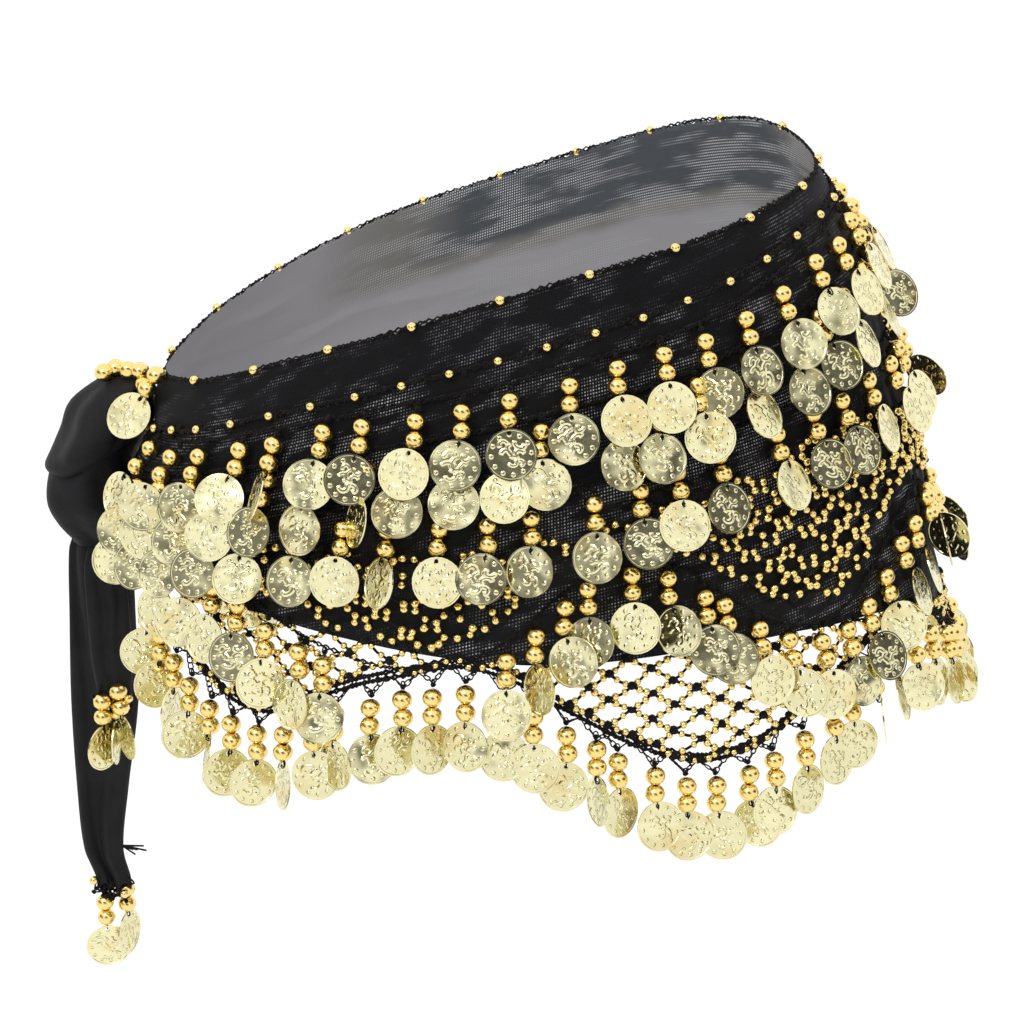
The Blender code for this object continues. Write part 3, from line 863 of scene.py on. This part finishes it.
def hangDrop(turn, level, yaw, swing, nod, lift, made):
    # adds the beads, coin, links and stitch of one drop to the lists of places
    upper, lower = hangPoint(turn, level, 0.0), hangPoint(turn, level, drop["beadStep"])
    top, low = hangPoint(turn, level, drop["coinTop"]), hangPoint(turn, level, drop["length"])
    beside = wornPoint(turn + 0.5, level) - wornPoint(turn - 0.5, level)
    frameOn = facing(low - top, beside)
    lower = lower + frameOn[:, 0] * drop["beadStep"] * math.sin(swing) * 0.5
    coinTurn = frameOn @ spun(swing, 1) @ spun(nod, 0) @ spun(yaw)
    away = -frameOn[:, 1] * (abs(math.sin(yaw)) * drop["turnedOut"] + lift)
    hang = frameOn @ spun(swing, 1) @ np.array((0, 0, -1.0))
    made["beads"] += [(anyLean(frameOn), upper), (anyLean(frameOn), lower)]
    made["coins"].append((coinTurn, top + hang * drop["coinRadius"] + away))
    foot, hole = lower + hang * drop["linkBelowBead"], top + hang * drop["linkOnCoin"] + away
    made["links"].append((coinTurn @ spun(math.pi / 2), foot + (hole - foot) * 0.9))
    made["links"].append((frameOn, foot + (hole - foot) * 0.3))
    made["stitches"].append((frameOn, hangPoint(turn, level, -drop["stitchAbove"])))
    turned = frameOn @ spun(chance.uniform(-0.8, 0.8))
    made["links"].append((turned, hangPoint(turn, level, -drop["linkAbove"])))


def anyLean(around):
    return around @ spun(chance.uniform(-0.25, 0.25), 0) @ spun(chance.uniform(-0.25, 0.25), 1)


def emptyLists():
    return {"beads": [], "coins": [], "links": [], "stitches": []}


def joinDrops(name, made, node, lines=()):
    pieces = [
        repeated(name + "Beads", beadMaster, made["beads"], beadGold),
        repeated(name + "Coins", coinMaster, made["coins"], coinGold, smooth=False),
        repeated(name + "Links", linkMaster, made["links"], cotton),
    ]
    if made["stitches"]:
        pieces.append(repeated(name + "Stitches", stitchMaster, made["stitches"], cotton))
    if lines:
        pieces.append(threads(name + "Lines", lines, thread["radius"], cotton))
    return handOver(joined(name, pieces), "coins", node)


# Rows of drops: how far below the rim, or at which levels, their upper beads lie, how far apart, and from and
# through which turn. A coin is turned a little by yaw, and each one in edgeOn by as much as turned says.

rows = {
    "coinsTop": {
        "node": "coins_top_row",
        "below": (0.030, 0.030, 0.033, 0.037, 0.034, 0.023, 0.020),
        "pitch": 0.0193, "through": 80, "start": 11, "yaw": 0.20, "edgeOn": 9, "turned": (0.6, 0.95),
    },
    "coinsSecond": {
        "node": "coins_second_row",
        "below": (0.043, 0.043, 0.048, 0.053, 0.050, 0.041, 0.036),
        "pitch": 0.0193, "through": 87, "start": 14, "yaw": 0.18, "edgeOn": 13, "turned": (0.5, 0.9),
    },
    "coinsThird": {
        "node": "coins_third_row",
        "below": (0.057, 0.057, 0.069, 0.084, 0.078, 0.075, 0.076),
        "pitch": 0.0193, "through": 91, "start": 12, "yaw": 0.20, "edgeOn": 14, "turned": (0.5, 0.9),
    },
    "coinsWave": {
        "node": "coins_wave_row",
        "ways": (0, 16, 32, 44, 56, 70, 84, 103, 131, 162, 180),
        "levels": (-0.118, -0.116, -0.112, -0.117, -0.133, -0.144, -0.137, -0.100, -0.135, -0.093, -0.106),
        "bare": (64, 84),  # ways between which the zigzag has no drops
        "pitch": 0.0145, "through": 103, "start": 27, "yaw": 0.26, "edgeOn": 8, "turned": (0.7, 1.4),
    },
    "coinsEdge": {
        "node": "coins_edge_row",
        "ways": (0, 16, 26, 36, 50, 68, 84, 113, 147, 180),
        "levels": (-0.126, -0.127, -0.134, -0.159, -0.173, -0.154, -0.147, -0.186, -0.145, -0.164),
        "inward": 0.0036,  # these coins hang free of the cloth
        "pitch": 0.0132, "through": 98, "start": 24, "yaw": 0.38, "edgeOn": 5, "turned": (0.7, 1.45),
    },
}


def rowLevel(name):
    row = rows[name]
    if "below" in row:
        return lambda turn: rimLevel(turn) - curveThrough(wornForm["ways"], row["below"], wayOf(turn))
    return lambda turn: curveThrough(row["ways"], row["levels"], wayOf(turn))


def dropTurns(name):
    row = rows[name]
    even = spacedTurns(rowLevel(name), row["pitch"], row["start"], 360 - row["start"], row["through"])
    shift = 0.09 * math.degrees(row["pitch"] / meanRadius)  # they are sewn on a little unevenly
    scatter = random.Random(name)
    return [turn + scatter.gauss(0, shift) for turn in even]


def addRow(name):
    row, levelAt = rows[name], rowLevel(name)
    made = emptyLists()
    low, high = row.get("bare", (0, 0))
    for i, turn in enumerate(dropTurns(name)):
        bunched = float(np.clip((drop["bunchedTo"] - turn) / drop["bunchedOver"], 0, 1))
        yaw = chance.gauss(0, row["yaw"]) + math.radians(90 - turn) * drop["toFront"] * bunched
        if i % row["edgeOn"] == row["edgeOn"] // 2:
            yaw = chance.choice((-1, 1)) * chance.uniform(*row["turned"])
        level = levelAt(turn) + chance.uniform(-0.0014, 0.0010)
        if not low < wayOf(turn) < high:
            lift = drop["everyOther"] * (i % 2) - row.get("inward", 0)
            hangDrop(turn, level, yaw, chance.gauss(0, 0.08), chance.gauss(0, 0.06), lift, made)
    lines = []
    if name != "coinsEdge":
        lines = braid(levelAt, 5, 355, 0.0010, drop["lineAbove"])
    return joinDrops(name, made, row["node"], lines)


dressPieces = [addRow(name) for name in rows]
print("five rows of drops")


# Small beads along the rim and along the line below it, with their crochet

edging = {
    "lineBelow": (0.022, 0.020, 0.021, 0.022, 0.019, 0.012, 0.010),
    "beadEnds": (6, 354),
    "through": 85,
    "rim": {
        "beadPitch": 0.0355, "beadOut": 0.0012, "out": 0.0001, "ends": (3, 357), "drift": (-0.0004, 0.0006),
        "picotPitch": 0.0078, "picotEnds": (4, 356), "picotSize": (0.4, 0.75),
    },
    "line": {
        "beadPitch": 0.0192, "beadOut": 0.0021, "out": 0.0009, "ends": (4, 356), "drift": (-0.0018, 0.0012),
        "picotPitch": 0.0040, "picotEnds": (6, 354), "picotSize": (0.6, 1.1),
    },
}


def lineLevel(turn):
    return rimLevel(turn) - curveThrough(wornForm["ways"], edging["lineBelow"], wayOf(turn))


def addEdging():
    beads, lines, picots = [], [], []
    both = ((rimLevel, edging["rim"]), (lineLevel, edging["line"]))
    for levelAt, trim in both:
        for turn in spacedTurns(levelAt, trim["beadPitch"], *edging["beadEnds"], edging["through"]):
            beads.append((anyTurn(), wornPoint(turn, levelAt(turn), trim["beadOut"])))
        lines += braid(levelAt, *trim["ends"], trim["out"])
    for levelAt, trim in both:
        for turn in spacedTurns(levelAt, trim["picotPitch"], *trim["picotEnds"]):
            level = levelAt(turn) + chance.uniform(*trim["drift"])
            picot = anyTurn() * chance.uniform(*trim["picotSize"])
            picots.append((picot, wornPoint(turn, level, trim["out"])))
    piece = joined("edging", [
        repeated("edgingBeads", smallMaster, beads, beadGold),
        threads("edgingThread", lines, thread["radius"], cotton),
        repeated("edgingStitches", stitchMaster, picots, cotton),
    ])
    return handOver(piece, "net")


dressPieces.append(addEdging())
print("edging")


# Net: diamonds of beaded string, on the cloth between the third row and the zigzag, and open below the hem

net = {
    "onCloth": {
        "level": -0.110, "ends": (12, 348), "halfWidth": 0.0090, "halfHeight": 0.0052, "out": 0.0019,
        "slack": 0.0, "beadScale": 0.92, "beadShares": (0.27, 0.73), "spread": 0.10,
    },
    "open": {
        "level": -0.135, "ends": (5, 355), "halfWidth": 0.0086, "halfHeight": 0.0052, "out": 0.0001,
        "slack": 0.0006, "beadScale": 0.77, "beadShares": (0.31, 0.69), "spread": 0.04,
    },
    "aboveZigzag": 0.012,
    "belowThird": 0.008,
    "edgeAboveBead": 0.0085,
    "edgeBand": 0.0024,
    "edgeEnds": (4, 356),
    "edgeOut": 0.0001,
    "edgeKnotPitch": 0.0037,
    "threadRadius": 0.00064,
}


def netEdge(turn):
    return rowLevel("coinsEdge")(turn) + net["edgeAboveBead"]


def openNodes():  # the net below the hem: turn and level of each node by column and row
    nodes, mesh = {}, net["open"]
    for i, turn in enumerate(turnsAt(mesh["level"], mesh["halfWidth"], mesh["ends"])):
        hem, edge = float(hemLevel(turn)), float(netEdge(turn))
        for j in range(i % 2, 14, 2):
            level = hem + 0.001 - mesh["halfHeight"] * j
            if level > edge - mesh["halfHeight"] * 0.6:
                drift = chance.uniform(-0.0008, 0.0008)
                nodes[i, j] = (turn + chance.uniform(-0.6, 0.6), max(level + drift, edge))
    return nodes


def clothNodes():  # the same net sewn flat on the cloth, between the third row and the zigzag
    nodes, mesh = {}, net["onCloth"]
    thirdRow, zigzag = rowLevel("coinsThird"), rowLevel("coinsWave")
    for i, turn in enumerate(turnsAt(mesh["level"], mesh["halfWidth"], mesh["ends"])):
        low = max(float(zigzag(turn)) + net["aboveZigzag"], float(hemLevel(turn)) + 0.001)
        high = float(thirdRow(turn)) - net["belowThird"]
        for j in range(i % 2, 16, 2):
            level = float(hemLevel(turn)) + 0.003 + mesh["halfHeight"] * j
            if low < level < high:
                nodes[i, j] = (turn + chance.uniform(-0.8, 0.8), level + chance.uniform(-0.0014, 0.0014))
    return nodes


def stringSides(nodes):  # the strings from each node to its two neighbours in the next row
    for (i, j), start in nodes.items():
        for side in (-1, 1):
            if (i + side, j + 1) in nodes:
                yield start, nodes[i + side, j + 1]


def addNet():
    beads, cords, lumps = {True: [], False: []}, [], []
    shares = np.linspace(0, 1, 5)
    for nodes, mesh in ((clothNodes(), net["onCloth"]), (openNodes(), net["open"])):
        sag = mesh["slack"] * np.sin(np.pi * shares)
        for (turn, level), (nextTurn, nextLevel) in stringSides(nodes):
            jitter = np.array([chance.uniform(-0.0003, 0.0003) for share in shares])
            turns = turn + (nextTurn - turn) * shares
            levels = level + (nextLevel - level) * shares - sag + jitter
            line = wornPoint(turns, levels, mesh["out"])
            cords.append(line)
            for share in mesh["beadShares"]:
                lean = share + chance.uniform(-mesh["spread"], mesh["spread"])
                spot = [np.interp(lean, shares, line[:, axis]) for axis in range(3)]
                beads[turn <= 180].append((anyTurn() * mesh["beadScale"] * chance.uniform(0.90, 1.08), spot))
        for turn, level in nodes.values():
            for _ in range(2):
                aside, drift = chance.uniform(-0.2, 0.2), chance.uniform(-0.0005, 0.0005)
                spot = wornPoint(turn + aside, level + drift, mesh["out"])
                lumps.append((anyTurn() * chance.uniform(1.2, 1.8), spot))
    for share in (0.0, 1.0):
        cords += braid(netEdge, *net["edgeEnds"], net["edgeOut"], net["edgeBand"] * share)
    for turn in spacedTurns(netEdge, net["edgeKnotPitch"], *net["edgeEnds"]):
        level = netEdge(turn) + net["edgeBand"] * chance.uniform(-0.3, 1.3)
        lumps.append((anyTurn() * chance.uniform(0.7, 1.3), wornPoint(turn, level, net["edgeOut"])))
    strings = joined("netThread", [
        threads("netStrings", cords, net["threadRadius"], cotton),
        repeated("netKnots", stitchMaster, lumps, cotton),
    ])
    print("net,", len(beads[True]) + len(beads[False]), "beads")
    return [
        handOver(strings, "net", "net_front", "net_back"),
        handOver(repeated("netBeadsFront", smallMaster, beads[True], beadGold), "net"),
        handOver(repeated("netBeadsBack", smallMaster, beads[False], beadGold), "net"),
    ]


dressPieces += addNet()


# Loops of chain stitch from the net's edge down to each drop of the lowest row

loops = {"aboveBead": 0.0042, "lean": (1.3, 2.2), "linkPitch": 0.0021}


def addLoops():
    links = []
    levelAt = rowLevel("coinsEdge")
    for turn in dropTurns("coinsEdge"):
        foot = hangPoint(turn, levelAt(turn), -loops["aboveBead"])
        for side in (-1, 1):
            lean = side * chance.uniform(*loops["lean"])
            head = wornPoint(turn + lean, netEdge(turn + lean), net["edgeOut"])
            run = foot - head
            count = max(2, int(np.linalg.norm(run) / loops["linkPitch"]))
            for k in range(count):
                spot = head + run * (k + 0.5) / count
                along = np.cross(run, (0, 0, 1)) + np.array((1e-6, 0, 0))
                links.append((facing(run, along) @ spun(chance.uniform(-0.9, 0.9)), spot))
    return handOver(repeated("netLoops", linkMaster, links, cotton), "net")


dressPieces.append(addLoops())
print("loops")


# Knot: two wraps of the gathered ends, one over the other

knot = {
    "levels": (-0.05, -0.052, -0.056, -0.064, -0.074, -0.083, -0.09, -0.097, -0.106, -0.114, -0.12, -0.1245),
    "reach": (0.160, 0.172, 0.180, 0.190, 0.195, 0.200, 0.203, 0.204, 0.203, 0.199, 0.195, 0.192),
    "halfDepth": (0.002, 0.007, 0.012, 0.016, 0.019, 0.020, 0.0192, 0.0195, 0.0195, 0.016, 0.012, 0.009),
    "innerSide": 0.0012,
    "crease": -0.0925,  # the level at which the upper wrap ends at the far side
    "creaseRise": 0.0190,  # and how much higher it ends towards the body
    "overlap": 0.012,
    "pleats": (0.0008, 0.0013),
    "curl": (0.0045, 0.0036),  # reach and depth of the upper wrap's rolled edge
    "tuck": (0.0060, 0.0020),  # and of the hollow under it
    "pocket": {"angle": 5.15, "radius": 0.024, "level": -0.066, "half": (0.0030, 0.0085), "depth": 0.0050},
    "columns": 110,
    "rows": 44,
    "mapWidth": 0.12,
    "thickness": 0.0008,
    "weavePitch": 0.0006,
    "black": (0.0036, 0.0036, 0.0044, 1),
    "light": (0.0066, 0.0066, 0.0080, 1),
}


def makeKnotFinish():
    finish = Finish(
        "foldedChiffon", Roughness=0.62, Sheen_Weight=0.03, Sheen_Roughness=0.4, Specular_IOR_Level=0.20
    )
    warp, weft, across, down = weave(finish, knot["weavePitch"])
    cloudy = finish.noise(55.0, 3.0)
    finish.feed("Base Color", finish.blend(cloudy.ramp(0.35, 0.7), knot["black"], knot["light"]))
    folds = finish.noise(1.0, 3.0, finish.stretched(across + down * 0.8, down - across * 0.6, 34.0, 120.0))
    onKnot = 1 - down.ramp(0.116, 0.128)  # the tails have their own folds
    finish.emboss((warp + weft) * 0.5 + finish.noise(120.0, 3.0) * 6.0 + folds * onKnot * 9.0, 0.00010, 0.8)
    return finish


foldedCloth = makeKnotFinish()


def knotSurface(angle, level, stand):
    # a point on the knot: angle 0 towards the body, 90 to the back, 180 away from the body, 270 to the front
    reach = curveThrough(knot["levels"], knot["reach"], level)
    depth = curveThrough(knot["levels"], knot["halfDepth"], level)
    wall = wornPoint(np.full(level.shape, wornForm["endTurn"]), level)[:, 0] - knot["innerSide"]
    centre, half = (wall - reach) / 2, (wall + reach) / 2
    x = centre + (half + stand) * np.cos(angle)
    y = (depth + stand) * np.sin(angle)
    return np.column_stack([x, y, level])


def addKnotWrap(name, node, over):
    pleatSmall, pleatLarge = knot["pleats"]
    curlReach, curlDepth = knot["curl"]
    tuckReach, tuckDepth = knot["tuck"]
    pocket = knot["pocket"]

    def shape(across, down):
        angle = 2 * np.pi * across
        # the line where the upper wrap ends: low at the far side, rising towards the body
        crease = knot["crease"] + knot["creaseRise"] * np.clip((np.cos(angle) + 0.5) / 1.5, 0, 1) ** 1.4
        if over:
            top, bottom = np.full(across.shape, knot["levels"][0]), crease
        else:
            top, bottom = crease + knot["overlap"], np.full(across.shape, knot["levels"][-1])
        level = top + (bottom - top) * down
        toCrease = np.abs(level - crease)
        wander = 40 * (level + 0.085)
        pleats = pleatSmall * np.sin(6 * angle + wander * 2.6)
        pleats = pleats + pleatLarge * np.sin(3 * angle - wander * 1.6 + 1)
        if over:
            curl = 1 - np.clip(toCrease / curlReach, 0, 1)
            rolled = curlDepth * (1 - np.sqrt(1 - 0.98 * curl ** 2))
            stand = 0.0010 + pleats * np.clip(toCrease / 0.010, 0, 1) - rolled
            aside = ((angle - pocket["angle"]) * pocket["radius"]) / pocket["half"][0]
            away = (level - pocket["level"]) / pocket["half"][1]
            stand = stand - pocket["depth"] * np.exp(-aside ** 2 - away ** 2)
            stand = stand * np.clip(down / 0.06, 0, 1)  # closed at the top
        else:
            tuck = np.exp(-toCrease / tuckReach)
            stand = pleats * (1 - tuck) - tuckDepth * tuck
            hidden = -tuckDepth - 0.0012 * toCrease / knot["overlap"]
            stand = np.where(level > crease, hidden, stand)
        return knotSurface(angle, level, stand), np.column_stack([across * knot["mapWidth"], -level])

    piece = draped(name, knot["columns"], knot["rows"], shape, foldedCloth)
    closeSeam(piece)
    print(name, areaOf(piece), "square metres")
    applied(piece, "SOLIDIFY", thickness=knot["thickness"], offset=-1)
    return handOver(piece, "knot", node)


knotOver = addKnotWrap("knotOver", "knot_over", True)
knotUnder = addKnotWrap("knotUnder", "knot_under", False)


# Tails: the two free ends, folded lengthwise as they hang. A groove has its angle round the tail, how far
# that drifts on the way down, and its half width.

tails = {
    "tailLong": {  # across is the middle line's place from left to right, and along from front to back
        "node": "tail_long",
        "columns": 96,
        "rows": 150,
        "mapWidth": 0.07,
        "thickness": 0.0006,
        "levels": (-0.1200, -0.1300, -0.1600, -0.1970, -0.2390, -0.2670, -0.2840),
        "across": (-0.1812, -0.1820, -0.1825, -0.1830, -0.1855, -0.1860, -0.1818),
        "along": (0.0025, 0.0025, 0.0030, 0.0030, 0.0025, 0.0015, 0.0010),
        "halfWidth": (0.0118, 0.0134, 0.0142, 0.0146, 0.0112, 0.0086, 0.0074),
        "halfDepth": (0.0040, 0.0046, 0.0050, 0.0050, 0.0046, 0.0040, 0.0030),
        "grooves": ((4.00, 0.9, 0.30), (4.95, -0.7, 0.26), (0.90, 0.6, 0.32), (2.20, -0.5, 0.30)),
    },
    "tailShort": {
        "node": "tail_short",
        "columns": 96,
        "rows": 60,
        "mapWidth": 0.07,
        "thickness": 0.0006,
        "levels": (-0.1235, -0.1330, -0.1500, -0.1750, -0.1880),
        "across": (-0.1800, -0.1795, -0.1780, -0.1765, -0.1760),
        "along": (-0.0055, -0.0085, -0.0125, -0.0155, -0.0165),
        "halfWidth": (0.0060, 0.0082, 0.0090, 0.0087, 0.0073),
        "halfDepth": (0.0015, 0.0022, 0.0026, 0.0026, 0.0020),
        "grooves": ((4.40, 0.5, 0.34), (5.30, -0.4, 0.30), (1.60, 0.3, 0.4)),
    },
}


def addTail(name):
    tail = tails[name]

    def shape(across, down):
        levels = tail["levels"]
        level = levels[0] + (levels[-1] - levels[0]) * down
        middle, along, width, depth = (
            curveThrough(levels, tail[size], level) for size in ("across", "along", "halfWidth", "halfDepth")
        )
        angle = 2 * np.pi * across
        inward = np.zeros(across.shape)
        for centre, drift, spread in tail["grooves"]:
            path = centre + drift * (down - 0.4) + 0.10 * np.sin(down * 9 + centre)
            gap = (angle - path + np.pi) % (2 * np.pi) - np.pi
            inward += np.exp(-(gap / spread) ** 2) - 0.35 * np.exp(-((gap - 0.5) / spread) ** 2)
        ripple = 0.05 * np.sin(6 * angle + down * 5) + 0.04 * np.sin(down * 40 + 3 * angle)
        shrink = 1 - 0.62 * inward + ripple
        x = middle + width * np.cos(angle) * (1 - 0.10 * inward)
        y = along + depth * np.sin(angle) * shrink
        ragged = 0.0016 * np.sin(angle * 5) * np.clip((down - 0.93) / 0.07, 0, 1)
        return np.column_stack([x, y, level + ragged]), np.column_stack([across * tail["mapWidth"], -level])

    piece = draped(name, tail["columns"], tail["rows"], shape, foldedCloth)
    closeSeam(piece)
    print(name, areaOf(piece), "square metres")
    applied(piece, "SOLIDIFY", thickness=tail["thickness"], offset=-1)
    return handOver(piece, "knot", tail["node"])


tailLong, tailShort = addTail("tailLong"), addTail("tailShort")


# Drops that hang from the tails' ends and lie on the knot. Each has its upper bead's place, the coin's turn
# about its thread, its swing and tilt, and the length of the thread above.

loose = {
    "coinsTailLong": {
        "node": "coins_long_tail",
        "drops": (
            ((-0.1865, 0.0010, -0.2925), 0.15, -0.05, 0.10, 0.0080),
            ((-0.1772, 0.0030, -0.2870), 1.20, -0.03, 0.0, 0.0050),
        ),
    },
    "coinsTailShort": {
        "node": "coins_short_tail",
        "drops": (
            ((-0.1810, -0.0190, -0.1903), 0.95, 0.00, 0.0, 0.0040),
            ((-0.1765, -0.0130, -0.1900), 1.50, 0.0, 0.0, 0.0040),
            ((-0.1742, -0.0190, -0.1858), -1.05, -0.12, 0.0, 0.0040),
        ),
    },
    "coinsKnot": {
        "node": "coins_knot",
        "drops": (((-0.1528, -0.0225, -0.0462), -0.62, 0.60, -0.30, 0.0030),),
        "beads": (  # on the knot's upper edge
            (-0.1766, -0.0040, -0.0500), (-0.1722, -0.0010, -0.0488), (-0.1664, -0.0050, -0.0488),
            (-0.1610, -0.0090, -0.0480), (-0.1590, -0.0130, -0.0530),
        ),
    },
}


def hangLoose(name):
    made, strings = emptyLists(), []
    around = facing((0, 0, -1), (1, 0, 0))
    for spot, yaw, swing, nod, length in loose[name]["drops"]:
        upper = np.array(spot)
        hang = around @ spun(swing, 1) @ np.array((0, 0, -1.0))
        lower = upper + hang * drop["beadStep"]
        coinTurn = around @ spun(swing, 1) @ spun(nod, 0) @ spun(yaw)
        made["beads"] += [(anyLean(around), upper), (anyLean(around), lower)]
        made["coins"].append((coinTurn, lower + hang * drop["looseCoin"]))
        made["links"].append((coinTurn @ spun(math.pi / 2), lower + hang * drop["looseLink"]))
        strings.append(np.array([upper + (0.0003 * k, 0, length * k / 3) for k in range(4)]))
    made["beads"] += [(anyTurn(), spot) for spot in loose[name].get("beads", ())]
    return joinDrops(name, made, loose[name]["node"], strings)


dressPieces.append(hangLoose("coinsKnot"))
endPieces = [hangLoose("coinsTailLong"), hangLoose("coinsTailShort")]


# Lace at the tails' ends: scraps of crochet, a tuft of thread and a few beads

lace = {
    "scraps": (("tailLong", 26), ("tailShort", 16)),
    "radius": 0.00045,
    "tuft": (-0.1782, 0.0012, -0.2655),  # at the long tail's front edge
    "tuftThreads": 7,
    "beads": ((-0.1905, -0.0025, -0.2805), (-0.1770, -0.0035, -0.2865), (-0.1700, -0.0190, -0.1890)),
}


def scattered(*spans):
    return np.array([chance.uniform(*span) for span in spans])


def addLace():
    lines, lumps = [], []
    shares = np.linspace(0, 1, 6)[:, None]
    for name, count in lace["scraps"]:
        tail = tails[name]
        end = np.array((tail["across"][-1], tail["along"][-1], tail["levels"][-1]))
        wide = tail["halfWidth"][-1]
        for _ in range(count):
            start = end + scattered((-wide, wide), (-0.002, 0.002), (0, 0.006))
            stop = start + scattered((-0.004, 0.004), (-0.002, 0.002), (-0.004, -0.009))
            bulge = np.append(scattered((-0.003, 0.003), (-0.002, 0.002)), -0.001)
            lines.append(start + (stop - start) * shares + bulge * np.sin(np.pi * shares))
            lumps.append((anyTurn(), stop))
    for _ in range(lace["tuftThreads"]):
        out = scattered((0.005, 0.011), (-0.002, 0.002), (-0.004, 0.001))
        lines.append(lace["tuft"] + out * np.linspace(0, 1, 5)[:, None] ** 0.8)
    beads = [(anyTurn(), spot) for spot in lace["beads"]]
    piece = joined("lace", [
        threads("laceThread", lines, lace["radius"], cotton),
        repeated("laceStitches", stitchMaster, lumps, cotton),
        repeated("laceBeads", smallMaster, beads, beadGold),
    ])
    return handOver(piece, "net")


endPieces.append(addLace())
print("tail and knot drops, lace")

for master in masters:
    bpy.data.objects.remove(master)


# The sheet of cloth round the hips, in place of the CAD cloth parts

handOver(wrapPiece, "cloth", "cloth_front", "cloth_back")
